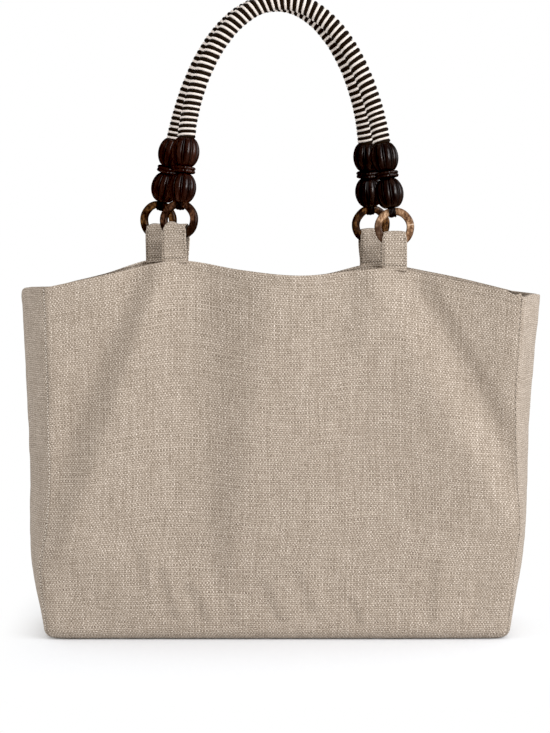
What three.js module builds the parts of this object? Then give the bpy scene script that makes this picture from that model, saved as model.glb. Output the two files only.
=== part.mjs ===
// A soft linen tote bag that stands on a flat base. Two handles of wound cord rise from its rim,
// and each handle end runs through two carved beads and a collar to a ring held in a cloth tab.
// Millimetres. +X is right seen from the front, -Y is the front and +Z is up.
// The origin is the middle of the base, on the surface that the bag stands on.
import * as THREE from "three";

const { clamp, degToRad, lerp, smoothstep } = THREE.MathUtils;

// Cloth of the walls and the tabs
const CLOTH = 2; // doubled linen of the walls
const TAB_CLOTH = 1.4; // one layer of a tab
const GAP = 0.3; // clearance between neighbouring pieces

// Bag walls
const EDGE_ROUND = 9; // the walls turn under the base with this radius
const CORNER_ROUND = 14; // upright corners, in plan
const BELLY = 5; // how far the front and back bow out
const BELLY_POWER = 0.8; // under 1, the belly is fullest below half height
const PULL_POWER = 1.7; // above 1, the rim's pull is felt mostly high up
const SEAM_POWER = 6; // the higher, the closer to the seams a panel turns to meet them
const SHARPEST_MITRE = 0.5; // cosine of the furthest half turn that a corner is mitred for
const PANEL_COLUMNS = 20;
const SIDE_COLUMNS = 8;
const WALL_ROWS = 12;
const EDGE_ROWS = 3;

// Level sections of the walls. share runs from the base, 0, to the rim, 1.
// The seam columns and depth place the upright seams, the side columns the furthest reach of the
// side panels, and power goes from a boxed side panel, 4, to one that folds out like a bellows, 1.6.
const WALL_SECTIONS = [
  { share: 0.0, seam_left: -214, seam_right: 207, depth: 61, side_left: -218, side_right: 211, power: 4 },
  { share: 0.19, seam_left: -219, seam_right: 213, depth: 62, side_left: -230, side_right: 222, power: 3 },
  { share: 0.3, seam_left: -212, seam_right: 216, depth: 61, side_left: -232, side_right: 226, power: 2.4 },
  { share: 0.44, seam_left: -207, seam_right: 212, depth: 57, side_left: -232, side_right: 228, power: 2 },
  { share: 0.64, seam_left: -208, seam_right: 209, depth: 55, side_left: -234, side_right: 230, power: 1.8 },
  { share: 1.0, seam_left: -213, seam_right: 216, depth: 55, side_left: -239, side_right: 239, power: 1.6 },
];
const BASE_DEPTH = 65; // half the base, front to back

// The rim, from the left seam, -1, to the right seam, 1. The tabs pull it up and inwards.
const FRONT_RIM = [
  { across: -1, height: 319, depth: 55 },
  { across: -0.73, height: 331, depth: 47 },
  { across: -0.45, height: 343, depth: 37 },
  { across: -0.18, height: 335, depth: 41 },
  { across: 0.07, height: 330, depth: 43 },
  { across: 0.48, height: 336, depth: 37 },
  { across: 0.67, height: 327, depth: 45 },
  { across: 1, height: 314, depth: 55 },
];
const BACK_RIM = [
  { across: -1, height: 315, depth: 55 },
  { across: -0.78, height: 327, depth: 48 },
  { across: -0.55, height: 341, depth: 37 },
  { across: -0.12, height: 324, depth: 43 },
  { across: 0.17, height: 327, depth: 41 },
  { across: 0.39, height: 337, depth: 37 },
  { across: 0.67, height: 328, depth: 46 },
  { across: 1, height: 311, depth: 55 },
];
const SIDE_RIM_DIP = 2; // the rim sinks this far at the middle of each side panel

// Soft folds of the front and back, as lines from (x0, z0) to (x1, z1) seen from the front.
// Right of a line that is drawn downwards the cloth stands out by lift more than left of it.
// FOLD_START and FOLD_END are the shares of the line over which a fold comes and goes.
const FOLD_START = [-0.1, 0.08];
const FOLD_END = [0.85, 1.05];
const FRONT_FOLDS = [
  { x0: -109, z0: 340, x1: -215, z1: 100, width: 24, lift: -9 },
  { x0: 113, z0: 335, x1: 213, z1: 150, width: 22, lift: 11 },
  { x0: 143, z0: 330, x1: 211, z1: 190, width: 20, lift: -7 },
  { x0: -47, z0: 345, x1: -55, z1: 30, width: 44, lift: -6 },
];
const BACK_FOLDS = [
  { x0: -131, z0: 340, x1: -217, z1: 120, width: 26, lift: -9 },
  { x0: 101, z0: 335, x1: 211, z1: 130, width: 24, lift: 10 },
  { x0: 31, z0: 345, x1: 43, z1: 40, width: 50, lift: 7 },
];

// Handles. Each end has the place of its ring, how far off to the side its tab is sewn on, how far
// the ring is turned about the upright and how far the beads lean towards the middle of the handle.
// turn and lean are in degrees.
const ROPE_RADIUS = 8.3;
const ROPE_SIDES = 10;
const ROPE_STEPS = 32;
const HANDLE_HEIGHT = 240; // from the rim to the middle of the rope at the crown
const RISE_PULL = 0.48; // share of the rise over which the rope keeps a bead stack's lean
const CROWN_PULL = 0.54; // share of the half span over which it keeps level at the crown
const FRONT_HANDLE = {
  name: "front",
  facing: 1,
  rim: FRONT_RIM,
  crown_x: 0.6,
  left: { ring_x: -92.5, foot_x: -4, turn: -18, lean: 5 },
  right: { ring_x: 103, foot_x: 0, turn: 0, lean: 8.5 },
};
const BACK_HANDLE = {
  name: "back",
  facing: -1,
  rim: BACK_RIM,
  crown_x: -3.5,
  left: { ring_x: -114, foot_x: -1, turn: -22, lean: 12 },
  right: { ring_x: 84, foot_x: 1, turn: 14, lean: 3.5 },
};

// Rings and tabs
const RING_OUTER = 18;
const RING_INNER = 11.2;
const RING_DEPTH = 6;
const RING_CHAMFER = 1.2;
const RING_SIDES = 18;
const RING_HEIGHT = 36.5; // from the rim to the middle of the ring
const TAB_WIDTH = 22;
const TAB_FOLD_WIDTH = 19; // across the fold, inside the ring
const TAB_FOLD_DROP = 5.1; // from the middle of the ring to the underside of the fold
const TAB_FOLD_ROUND = 1.6;
const TAB_FOOT_GAP = 0.4;
const TAB_COLUMNS = 3;

// Beads, collars and the loops that hang them on the rings
const BORE = 5.4;
const BEAD_LOBES = 10;
const BEAD_ROWS = 6;
const BEAD_GROOVE = 1.1;
const LOWER_BEAD = { radius: 12.5, height: 25.2, end: 7 };
const UPPER_BEAD = { radius: 12.9, height: 27.2, end: 8 };
const COLLAR = { radius: 11, waist: 9.9, end: 8.6, height: 6.2, sides: 16 };
const LOOP_WIDTH = 6.4;
const LOOP_WALL = 1.3;
const LOOP_EYE_DEPTH = RING_DEPTH / 2 + 1.1; // half the eye, front to back
const LOOP_EYE_BOTTOM = RING_INNER - 1.9; // above the middle of the ring
const LOOP_EYE_TOP = RING_OUTER + 1;
const LOOP_CURVE_STEPS = 10;

// Materials
const linen = new THREE.MeshStandardMaterial({ color: 0xb5a591, roughness: 0.95, metalness: 0 });
const woundCord = new THREE.MeshStandardMaterial({ color: 0x86796d, roughness: 0.85, metalness: 0 });
const darkWood = new THREE.MeshStandardMaterial({ color: 0x2a1b16, roughness: 0.4, metalness: 0 });
const loopCord = new THREE.MeshStandardMaterial({ color: 0x17110f, roughness: 0.6, metalness: 0 });
const darkRing = new THREE.MeshStandardMaterial({ color: 0x4a2c1c, roughness: 0.35, metalness: 0 });
const paleRing = new THREE.MeshStandardMaterial({ color: 0xb08660, roughness: 0.35, metalness: 0 });

const RIGHT = new THREE.Vector3(1, 0, 0);
const BACK = new THREE.Vector3(0, 1, 0);
const UP = new THREE.Vector3(0, 0, 1);

// Reads one column of a table as a smooth curve through its rows.
function column(table, along, name) {
  const places = table.map((row) => row[along]);
  const values = table.map((row) => row[name]);
  const curve = new THREE.CubicInterpolant(places, values, 1);
  return (place) => curve.evaluate(clamp(place, places[0], places.at(-1)))[0];
}

const section = {};
for (const name of ["seam_left", "seam_right", "depth", "side_left", "side_right", "power"])
  section[name] = column(WALL_SECTIONS, "share", name);

function rimCurves(table) {
  return { height: column(table, "across", "height"), depth: column(table, "across", "depth") };
}

// How far the folds push the cloth out at a place on a panel, seen from the front.
function foldLift(folds, x, z) {
  let lift = 0;
  for (const fold of folds) {
    const line = new THREE.Vector2(fold.x1 - fold.x0, fold.z1 - fold.z0);
    const place = new THREE.Vector2(x - fold.x0, z - fold.z0);
    const rightOfLine = -place.cross(line) / line.length();
    const along = place.dot(line) / line.lengthSq();
    const across = smoothstep(rightOfLine, -fold.width / 2, fold.width / 2) - 0.5;
    const fade = smoothstep(along, ...FOLD_START) * (1 - smoothstep(along, ...FOLD_END));
    lift -= fold.lift * across * fade;
  }
  return lift;
}

// A point of the front or back panel. across runs from seam to seam, -1 to 1, share from base to rim.
function panelPoint(across, share, rim, folds) {
  const left = section.seam_left(share);
  const right = section.seam_right(share);
  const x = lerp(left, right, (across + 1) / 2);
  const z = lerp(EDGE_ROUND, rim.height(across), share);
  const fromSeam = Math.min(x - left, right - x);
  const intoCorner = Math.max(0, CORNER_ROUND * Math.SQRT1_2 - fromSeam);
  const cornerTurn = CORNER_ROUND - Math.sqrt(CORNER_ROUND ** 2 - intoCorner ** 2);
  const atSeam = Math.abs(across) ** SEAM_POWER;
  const pulledIn = share ** PULL_POWER;
  const middle = lerp(BASE_DEPTH, rim.depth(across), pulledIn);
  const belly = BELLY * (1 - across ** 2) * Math.sin(Math.PI * share ** BELLY_POWER);
  const open = middle + belly + foldLift(folds, x, z) - cornerTurn * (1 - pulledIn);
  return new THREE.Vector3(x, lerp(open, section.depth(share), atSeam), z);
}

// A point of a side panel. around runs from the front seam, -1, to the back seam, 1.
function sidePoint(around, share, hand) {
  const seam = hand < 0 ? section.seam_left(share) : section.seam_right(share);
  const reach = hand < 0 ? section.side_left(share) : section.side_right(share);
  const out = 1 - Math.abs(around) ** section.power(share);
  const rimHeight = lerp(frontRim.height(hand), backRim.height(hand), (around + 1) / 2);
  const z = lerp(EDGE_ROUND, rimHeight - SIDE_RIM_DIP * (1 - around ** 2), share);
  return new THREE.Vector3(lerp(seam, reach, out), around * section.depth(share), z);
}

const frontRim = rimCurves(FRONT_RIM);
const backRim = rimCurves(BACK_RIM);

// The four panels in order round the bag, anticlockwise from above, starting at the front's left seam.
const WALLS = [
  { name: "front_panel", columns: PANEL_COLUMNS, point: frontPoint },
  { name: "side_panel_right", columns: SIDE_COLUMNS, point: (part, share) => sidePoint(part, share, 1) },
  { name: "back_panel", columns: PANEL_COLUMNS, point: backPoint },
  { name: "side_panel_left", columns: SIDE_COLUMNS, point: (part, share) => sidePoint(-part, share, -1) },
];

function frontPoint(across, share) {
  const point = panelPoint(across, share, frontRim, FRONT_FOLDS);
  return point.setY(-point.y);
}

function backPoint(part, share) {
  return panelPoint(-part, share, backRim, BACK_FOLDS);
}

// One level line round the whole bag. Each point carries the way into the wall, longer at a corner
// so that the wall keeps its thickness there.
function wallLine(share) {
  const line = WALLS.flatMap(({ columns, point }) =>
    Array.from({ length: columns }, (_, i) => point((2 * i) / columns - 1, share)),
  );
  const outline = line.map((point) => new THREE.Vector2(point.x, point.y));
  return line.map((point, i) => {
    const before = outline.at(i - 1);
    const after = outline[(i + 1) % line.length];
    const arriving = outline[i].clone().sub(before).normalize();
    const leaving = after.clone().sub(outline[i]).normalize();
    const along = arriving.clone().add(leaving).normalize();
    const widen = 1 / Math.max(SHARPEST_MITRE, along.dot(leaving));
    const inward = new THREE.Vector3(-along.y, along.x, 0).multiplyScalar(widen);
    return { point, inward, along: new THREE.Vector3(along.x, along.y, 0) };
  });
}

// Where a wall's outer and inner faces lie in each of its rows: first the turn under the base, then
// the upright wall. inset is measured into the bag from the level line, drop down from it.
function wallRows() {
  const rows = [];
  for (let i = 0; i < EDGE_ROWS; i++) {
    const angle = (i / EDGE_ROWS) * (Math.PI / 2);
    const face = (radius) => ({
      inset: EDGE_ROUND - radius * Math.sin(angle),
      drop: radius * Math.cos(angle),
    });
    rows.push({ share: 0, outer: face(EDGE_ROUND), inner: face(EDGE_ROUND - CLOTH) });
  }
  for (let i = 0; i <= WALL_ROWS; i++)
    rows.push({ share: i / WALL_ROWS, outer: { inset: 0, drop: 0 }, inner: { inset: CLOTH, drop: 0 } });
  return rows;
}

// A cloth piece as a closed solid. outer and inner are grids of points, a list for each row, and
// walls along the four edges join them.
function clothSolid(outer, inner) {
  const rows = outer.length;
  const columns = outer[0].length;
  const corner = (side, row, place) => (side * rows + row) * columns + place;
  const [OUT, IN] = [0, 1];
  const index = [];
  const quad = (a, b, c, d) => index.push(a, b, c, a, c, d);
  for (let r = 0; r + 1 < rows; r++) {
    for (let c = 0; c + 1 < columns; c++) {
      quad(corner(OUT, r, c), corner(OUT, r, c + 1), corner(OUT, r + 1, c + 1), corner(OUT, r + 1, c));
      quad(corner(IN, r, c), corner(IN, r + 1, c), corner(IN, r + 1, c + 1), corner(IN, r, c + 1));
    }
    const last = columns - 1;
    quad(corner(OUT, r, 0), corner(OUT, r + 1, 0), corner(IN, r + 1, 0), corner(IN, r, 0));
    quad(corner(IN, r, last), corner(IN, r + 1, last), corner(OUT, r + 1, last), corner(OUT, r, last));
  }
  for (let c = 0; c + 1 < columns; c++) {
    const last = rows - 1;
    quad(corner(IN, 0, c), corner(IN, 0, c + 1), corner(OUT, 0, c + 1), corner(OUT, 0, c));
    quad(corner(OUT, last, c), corner(OUT, last, c + 1), corner(IN, last, c + 1), corner(IN, last, c));
  }
  const geometry = new THREE.BufferGeometry().setFromPoints([...outer.flat(), ...inner.flat()]);
  geometry.setIndex(index);
  geometry.computeVertexNormals();
  return geometry;
}

function addPiece(group, name, geometry, material) {
  const mesh = new THREE.Mesh(geometry, material);
  mesh.name = name;
  group.add(mesh);
  return mesh;
}

// Front, back and side panels, each cut from the level lines between two seams.
function addWalls(bag) {
  const rows = wallRows().map((row) => ({ ...row, line: wallLine(row.share) }));
  let first = 0;
  for (const { name, columns } of WALLS) {
    const face = (side) =>
      rows.map((row) =>
        Array.from({ length: columns + 1 }, (_, i) => {
          const { point, inward, along } = row.line[(first + i) % row.line.length];
          const { inset, drop } = row[side];
          const place = point.clone().addScaledVector(inward, inset);
          place.z -= drop;
          const fromSeam = i === 0 ? GAP / 2 : i === columns ? -GAP / 2 : 0;
          return place.addScaledVector(along, fromSeam);
        }),
      );
    addPiece(bag, name, clothSolid(face("outer"), face("inner")), linen);
    first += columns;
  }
}

// The flat base, inside the turned-under edges of the walls.
function addBase(bag) {
  const outline = wallLine(0).map(({ point, inward }) => {
    const place = point.clone().addScaledVector(inward, EDGE_ROUND + GAP);
    return new THREE.Vector2(place.x, place.y);
  });
  const flat = new THREE.ExtrudeGeometry(new THREE.Shape(outline), { depth: CLOTH, bevelEnabled: false });
  addPiece(bag, "base_panel", flat, linen);
}

// The rope's run from the top of the right bead stack, over the crown, to the top of the left one.
function handleArch(right, crown, left) {
  const half = ({ top, axis }) => {
    const leaving = top.clone().addScaledVector(axis, RISE_PULL * (crown.z - top.z));
    const arriving = crown.clone().setX(lerp(crown.x, top.x, CROWN_PULL));
    return [top, leaving, arriving, crown];
  };
  const arch = new THREE.CurvePath();
  arch.add(new THREE.CubicBezierCurve3(...half(right)));
  arch.add(new THREE.CubicBezierCurve3(...half(left).reverse()));
  return arch;
}

function ropeGeometry(arch) {
  const corners = Array.from({ length: ROPE_SIDES }, (_, i) => {
    const angle = (2 * Math.PI * i) / ROPE_SIDES;
    return new THREE.Vector2(ROPE_RADIUS * Math.cos(angle), ROPE_RADIUS * Math.sin(angle));
  });
  return new THREE.ExtrudeGeometry(new THREE.Shape(corners), { steps: ROPE_STEPS, extrudePath: arch });
}

// A turned piece about the Z axis, from a closed outline of [radius, height] corners.
function turned(outline, sides) {
  const corners = [...outline, outline[0]].map(([radius, height]) => new THREE.Vector2(radius, height));
  return new THREE.LatheGeometry(corners, sides).rotateX(Math.PI / 2);
}

// A drilled melon bead that stands on Z = 0, with a lobe and a groove for every two sides.
function beadGeometry({ radius, height, end }) {
  const outline = [[BORE, 0]];
  for (let i = 0; i <= BEAD_ROWS; i++) {
    const fromMiddle = (2 * i) / BEAD_ROWS - 1;
    const swell = Math.sqrt(1 - fromMiddle ** 2 * (1 - (end / radius) ** 2));
    outline.push([radius * swell, (height * i) / BEAD_ROWS]);
  }
  outline.push([BORE, height]);
  const bead = turned(outline, 2 * BEAD_LOBES);
  const places = bead.getAttribute("position");
  for (let i = 0; i < places.count; i++) {
    const place = new THREE.Vector3().fromBufferAttribute(places, i);
    const reach = Math.hypot(place.x, place.y);
    const side = Math.round((Math.atan2(place.y, place.x) * BEAD_LOBES) / Math.PI);
    if (reach < BORE + GAP || side % 2 === 0) continue;
    const groove = BEAD_GROOVE * Math.sin((Math.PI * place.z) / height);
    places.setXYZ(i, place.x * (1 - groove / reach), place.y * (1 - groove / reach), place.z);
  }
  bead.computeVertexNormals();
  return bead;
}

// The collar between two beads: two rounded ridges with a waist between them.
function collarGeometry() {
  const { radius, waist, end, height, sides } = COLLAR;
  const outline = [
    [BORE, 0],
    [end, 0],
    [radius, height * 0.25],
    [waist, height * 0.5],
    [radius, height * 0.75],
    [end, height],
    [BORE, height],
  ];
  return turned(outline, sides);
}

// A ring that faces front, with chamfered edges.
function ringGeometry() {
  const [back, front] = [RING_DEPTH / 2, -RING_DEPTH / 2];
  const outline = [
    [RING_INNER + RING_CHAMFER, front],
    [RING_OUTER - RING_CHAMFER, front],
    [RING_OUTER, front + RING_CHAMFER],
    [RING_OUTER, back - RING_CHAMFER],
    [RING_OUTER - RING_CHAMFER, back],
    [RING_INNER + RING_CHAMFER, back],
    [RING_INNER, back - RING_CHAMFER],
    [RING_INNER, front + RING_CHAMFER],
  ];
  return turned(outline, RING_SIDES).rotateX(Math.PI / 2);
}

// The dark loop that holds a ring: an eye round the top of the ring and a stem up through the beads.
function loopGeometry(stemTop) {
  const stem = LOOP_WIDTH / 2;
  const eyeMiddle = (LOOP_EYE_BOTTOM + LOOP_EYE_TOP) / 2;
  const eyeHeight = (LOOP_EYE_TOP - LOOP_EYE_BOTTOM) / 2;
  const meets = Math.acos(stem / (LOOP_EYE_DEPTH + LOOP_WALL));
  const outline = new THREE.Shape();
  outline.moveTo(-stem, stemTop);
  outline.absellipse(
    0, eyeMiddle, LOOP_EYE_DEPTH + LOOP_WALL, eyeHeight + LOOP_WALL, Math.PI - meets, meets, false,
  );
  outline.lineTo(stem, stemTop);
  const eye = new THREE.Path();
  eye.absellipse(0, eyeMiddle, LOOP_EYE_DEPTH, eyeHeight, 0, 2 * Math.PI, true);
  outline.holes.push(eye);
  const band = new THREE.ExtrudeGeometry(outline, {
    depth: LOOP_WIDTH,
    bevelEnabled: false,
    curveSegments: LOOP_CURVE_STEPS,
  });
  band.applyMatrix4(new THREE.Matrix4().makeBasis(BACK, UP, RIGHT));
  return band.translate(-LOOP_WIDTH / 2, 0, 0);
}

// A cloth tab round the bottom of a ring whose middle is the origin. footHeight gives the height of
// the rim below a place in X, and footX is where the tab's foot stands on it. From the foot up, the
// tab comes under the ring and twists into the ring's setting.
function tabGeometry(footHeight, footX, setting) {
  const openHalf = RING_DEPTH / 2 + GAP;
  const closedHalf = GAP / 2;
  const foldTop = -TAB_FOLD_DROP;
  const clearOfRing = -RING_OUTER - 2 * GAP;
  const legShares = [0, 0.3, 0.6, 1];
  const foldAngles = [0, 30, 60, 90].map(degToRad);

  // The front half of the tab's run, from its foot to the crown of the fold.
  const rise = (x, layer) => {
    const places = legShares.map((share) => ({
      half: lerp(closedHalf, openHalf, smoothstep(share, 0, 1)) + layer,
      z: lerp(footHeight(x), clearOfRing, share),
      fold: 0,
    }));
    const round = TAB_FOLD_ROUND + layer;
    for (const angle of foldAngles)
      places.push({
        half: openHalf - TAB_FOLD_ROUND + round * Math.cos(angle),
        z: foldTop - TAB_FOLD_ROUND + round * Math.sin(angle),
        fold: 1,
      });
    return places;
  };
  const grid = (layer) => {
    const columns = Array.from({ length: TAB_COLUMNS + 1 }, (_, i) => (2 * i) / TAB_COLUMNS - 1);
    const runs = columns.map((across) => {
      const half = rise(footX + (across * TAB_WIDTH) / 2, layer);
      const front = half.map((place) => ({ ...place, y: -place.half }));
      const back = half.map((place) => ({ ...place, y: place.half })).reverse();
      return [...front, ...back].map(({ y, z, fold }) => {
        const width = fold ? TAB_FOLD_WIDTH : TAB_WIDTH;
        const risen = smoothstep(z, footHeight(footX), clearOfRing);
        const twist = new THREE.Quaternion().slerp(setting, risen);
        const place = new THREE.Vector3((across * width) / 2, y, z).applyQuaternion(twist);
        return place.setX(place.x + footX * (1 - risen));
      });
    });
    return runs[0].map((_, row) => runs.map((run) => run[row]));
  };
  return clothSolid(grid(TAB_CLOTH), grid(0));
}

// How a ring and the crown of its tab are set: facing the way the turned bead stack faces, and level.
function ringSetting(stackTurn) {
  const facing = BACK.clone().applyEuler(stackTurn);
  const across = new THREE.Vector3(facing.y, -facing.x, 0).normalize();
  const rising = across.clone().cross(facing);
  const basis = new THREE.Matrix4().makeBasis(across, facing, rising);
  return new THREE.Quaternion().setFromRotationMatrix(basis);
}

// One end of a handle, from the tab up to the top of the upper bead. Tells where the rope goes on.
function addHandleEnd(handle, end, { place, stackTurn, footHeight, footX }, ringMaterial) {
  const ringCentre = new THREE.Group();
  ringCentre.position.copy(place);
  handle.add(ringCentre);
  const setting = ringSetting(stackTurn);
  addPiece(ringCentre, `tab_${end}`, tabGeometry(footHeight, footX, setting), linen);
  addPiece(ringCentre, `ring_${end}`, ringGeometry(), ringMaterial).quaternion.copy(setting);

  const stack = new THREE.Group();
  stack.rotation.copy(stackTurn);
  ringCentre.add(stack);
  addPiece(stack, `loop_${end}`, loopGeometry(STACK.top - GAP), loopCord);
  addPiece(stack, `bead_lower_${end}`, beadGeometry(LOWER_BEAD), darkWood).position.z = STACK.lowerBead;
  addPiece(stack, `collar_${end}`, collarGeometry(), darkWood).position.z = STACK.collar;
  addPiece(stack, `bead_upper_${end}`, beadGeometry(UPPER_BEAD), darkWood).position.z = STACK.upperBead;

  const axis = UP.clone().applyEuler(stackTurn);
  return { axis, top: place.clone().addScaledVector(axis, STACK.top) };
}

// Where the pieces of a bead stack start, measured up its axis from the middle of the ring.
const STACK = { lowerBead: RING_OUTER + GAP };
STACK.collar = STACK.lowerBead + LOWER_BEAD.height + GAP;
STACK.upperBead = STACK.collar + COLLAR.height + GAP;
STACK.top = STACK.upperBead + UPPER_BEAD.height + GAP;

// Where a place in X lies between the seams at the rim, from -1 to 1.
function acrossOf(x) {
  const [left, right] = [section.seam_left(1), section.seam_right(1)];
  return (2 * (x - left)) / (right - left) - 1;
}

// The middle of the wall's thickness at the rim, as a distance from the bag's middle plane.
function rimMiddle(rim, across) {
  return rim.depth(across) - CLOTH / 2;
}

// A whole handle. It leans inwards until its rope meets the middle plane of the bag at the crown.
function addHandle(bag, { name, facing, rim: rimTable, crown_x, left, right }, ringMaterials) {
  const rim = rimCurves(rimTable);
  const mean = (read) => (read(acrossOf(left.ring_x)) + read(acrossOf(right.ring_x))) / 2;
  const depth = mean((across) => rimMiddle(rim, across));
  const rimHeight = mean(rim.height);
  const lean = Math.asin((depth - ROPE_RADIUS - GAP) / HANDLE_HEIGHT);
  const handle = new THREE.Group();
  handle.position.set(0, -facing * depth, rimHeight);
  handle.rotation.x = -facing * lean;
  bag.add(handle);

  const addEnd = (side, { ring_x, foot_x, turn, lean: beadLean }, towardsMiddle) => {
    const overRim = (x) => rim.height(acrossOf(ring_x + x)) - rimHeight + TAB_FOOT_GAP;
    const ringHeight = overRim(foot_x) + RING_HEIGHT;
    const end = {
      place: new THREE.Vector3(ring_x, 0, ringHeight),
      stackTurn: new THREE.Euler(0, towardsMiddle * degToRad(beadLean), degToRad(turn)),
      footHeight: (x) => overRim(x) - ringHeight,
      footX: foot_x,
    };
    return addHandleEnd(handle, `${name}_${side}`, end, ringMaterials[side]);
  };
  const leftEnd = addEnd("left", left, 1);
  const rightEnd = addEnd("right", right, -1);
  const crown = new THREE.Vector3(crown_x, 0, HANDLE_HEIGHT);
  addPiece(handle, `handle_${name}`, ropeGeometry(handleArch(rightEnd, crown, leftEnd)), woundCord);
}

const bag = new THREE.Group();
addWalls(bag);
addBase(bag);
addHandle(bag, FRONT_HANDLE, { left: darkRing, right: paleRing });
addHandle(bag, BACK_HANDLE, { left: darkRing, right: darkRing });

export default bag;
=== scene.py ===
"""A soft linen tote bag: woven walls with slack folds, sewn seams, folded tabs, shell rings,
carved beads and two handles of rope wound in dark and cream cord.

Shapes are worked out in millimetres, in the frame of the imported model, and stored in metres.
+X is right seen from the front, -Y is the front and +Z is up.
"""
import math

import bmesh
import bpy
import numpy as np
from mathutils import Matrix, Vector


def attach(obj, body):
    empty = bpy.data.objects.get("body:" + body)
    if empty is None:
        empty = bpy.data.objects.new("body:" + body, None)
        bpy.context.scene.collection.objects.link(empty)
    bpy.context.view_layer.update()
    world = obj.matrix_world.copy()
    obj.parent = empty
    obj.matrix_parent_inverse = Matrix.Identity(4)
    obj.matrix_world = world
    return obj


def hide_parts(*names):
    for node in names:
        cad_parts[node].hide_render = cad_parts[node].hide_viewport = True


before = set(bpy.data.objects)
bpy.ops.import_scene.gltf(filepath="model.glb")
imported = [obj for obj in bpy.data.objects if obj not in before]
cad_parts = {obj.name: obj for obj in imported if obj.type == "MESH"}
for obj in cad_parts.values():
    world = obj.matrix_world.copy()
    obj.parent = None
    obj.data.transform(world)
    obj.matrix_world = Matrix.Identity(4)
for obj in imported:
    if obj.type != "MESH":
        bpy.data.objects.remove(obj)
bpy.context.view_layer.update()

MM = 0.001

# Cloth of the walls and the tabs
CLOTH = 2.0
HEM_CLOTH = 2.9  # at the rim, where the cloth is folded over
TAB_CLOTH = 1.4
GAP = 0.3
CUT_ROUND = 0.5  # of the edges of the base and the tabs

# Bag walls
EDGE_ROUND = 9.0  # the walls turn under the base with this radius
CORNER_ROUND = 14.0
BELLY = 5.0
BELLY_POWER = 0.8
PULL_POWER = 1.7
SEAM_POWER = 6
FOLD_SEAM_POWER = 18  # the folds run on almost to the seams
BASE_DEPTH = 65.0
BASE_ENDS = (-218.0, 211.0)
BASE_GRID = (120, 40)
WALL_HEIGHT = 320.0  # along the threads; the rim's own height varies
PANEL_HALF = 213.0  # half the width between two seams, along the threads
SIDE_HALF = 62.0
SIDE_RIM_DIP = 2.0
CORNER_SWELL = {"left": (2.6, 13.0), "right": (0.8, 10.0)}  # the cloth rounds out beside its seams
SIDE_RIM_ROUND = {-1: 7.0, 1: 2.6}  # radius of each side panel's rim at its outermost fold
SCALLOP_SPREAD = 4.6  # two dips in the rim, either side of the seam at the front right
PANEL_SCALLOP = (210.5, 2.6)
SIDE_SCALLOP = (220.5, 3.2)
TURN_SHARE = 0.045  # share of a wall's rows that turns under the base
PANEL_COLUMNS = 150
SIDE_COLUMNS = 56
WALL_ROWS = 270
SEAM_COLUMNS = (0.2, 0.06)  # columns close up to this share of their spacing, over this share of a panel

# Level sections of the walls, from the base, share 0, to the rim, 1
SECTION_NAMES = "share seam_left seam_right depth side_left side_right power"
WALL_SECTIONS = (
    (0.00, -214, 207, 61, -218, 211, 4.0),
    (0.19, -219, 213, 62, -230, 222, 3.0),
    (0.30, -213, 217, 61, -232, 226, 2.4),
    (0.44, -210.5, 215, 57, -232, 228, 2.0),
    (0.64, -211.5, 213, 55, -234, 230, 1.8),
    (1.00, -214.5, 218, 52, -239, 239, 1.6),
)

# The rims, from the left seam, -1, to the right seam, 1
RIM_NAMES = "across height depth"
FRONT_RIM = (
    (-1.00, 319, 55),
    (-0.73, 331, 50),
    (-0.45, 343, 37),
    (-0.18, 335, 41),
    (0.07, 330, 43),
    (0.48, 336, 37),
    (0.67, 327, 41.5),
    (0.86, 319.5, 45.5),
    (1.00, 314, 51),
)
BACK_RIM = (
    (-1.00, 315, 55),
    (-0.78, 327, 48),
    (-0.55, 341, 37),
    (-0.12, 324, 43),
    (0.17, 327, 41),
    (0.39, 337, 37),
    (0.67, 328, 46),
    (1.00, 311, 55),
)

# Slack folds, as lines from (x0, z0) down to (x1, z1). Across a line from left to right the cloth falls
# back by the fold's depth; its width and depth are given at the top and at the foot, and the cloth lies
# flat again at spread from the line: (x0, z0, x1, z1, width, foot_width, depth, foot_depth, spread)
FOLD_START = (-0.1, 0.08)
FOLD_END = (0.85, 1.05)
FRONT_FOLDS = (
    (-113, 348, -222, 62, 26, 42, -18, -21, 60),
    (-41, 348, -53, 40, 88, 18, -22, -5, 80),
    (99, 338, 223, 112, 52, 40, 15, 17, 66),
    (130, 326, 212, 186, 22, 20, -6, -6, 40),
    (72, 344, 66, 250, 38, 20, -6, -2, 36),
    (-180, 338, -198, 262, 64, 44, -7, -3, 50),
    (-127, 84, -122, 45, 10, 10, -2.2, -2.2, 16),
    (-108, 66, -94, 16, 10, 9, -2.8, -2.2, 14),
    (-84, 54, -64, 14, 10, 9, -2.8, -2.2, 14),
    (-46, 40, -40, 12, 9, 9, -2.2, -2.2, 14),
    (-16, 54, 3, 14, 10, 9, -2.8, -2.2, 14),
    (15, 66, 30, 24, 10, 9, -2.2, -2.2, 14),
    (64, 40, 74, 12, 10, 8, -2.5, -2.5, 12),
    (141, 72, 136, 14, 12, 10, -2.8, -2.4, 16),
    (176, 50, 168, 14, 9, 9, 2.5, 2.5, 12),
)
BACK_FOLDS = (
    (-131, 345, -222, 80, 26, 30, -16, -16, 60),
    (101, 342, 220, 90, 30, 34, 17, 17, 60),
    (28, 348, 43, 40, 70, 20, 16, 5, 80),
    (-64, 344, -70, 250, 30, 18, 5, 2, 34),
    (-118, 66, -106, 16, 9, 8, -4, -3, 12),
    (-34, 56, -20, 14, 8, 8, -4, -3, 12),
    (52, 60, 42, 16, 8, 8, 4, 3, 12),
    (118, 72, 108, 16, 9, 9, 4, 3, 14),
)
PANEL_CLOTH = {"front": (FRONT_FOLDS, (11, 12)), "back": (BACK_FOLDS, (23, 24))}  # folds and seeds of dents

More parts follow.
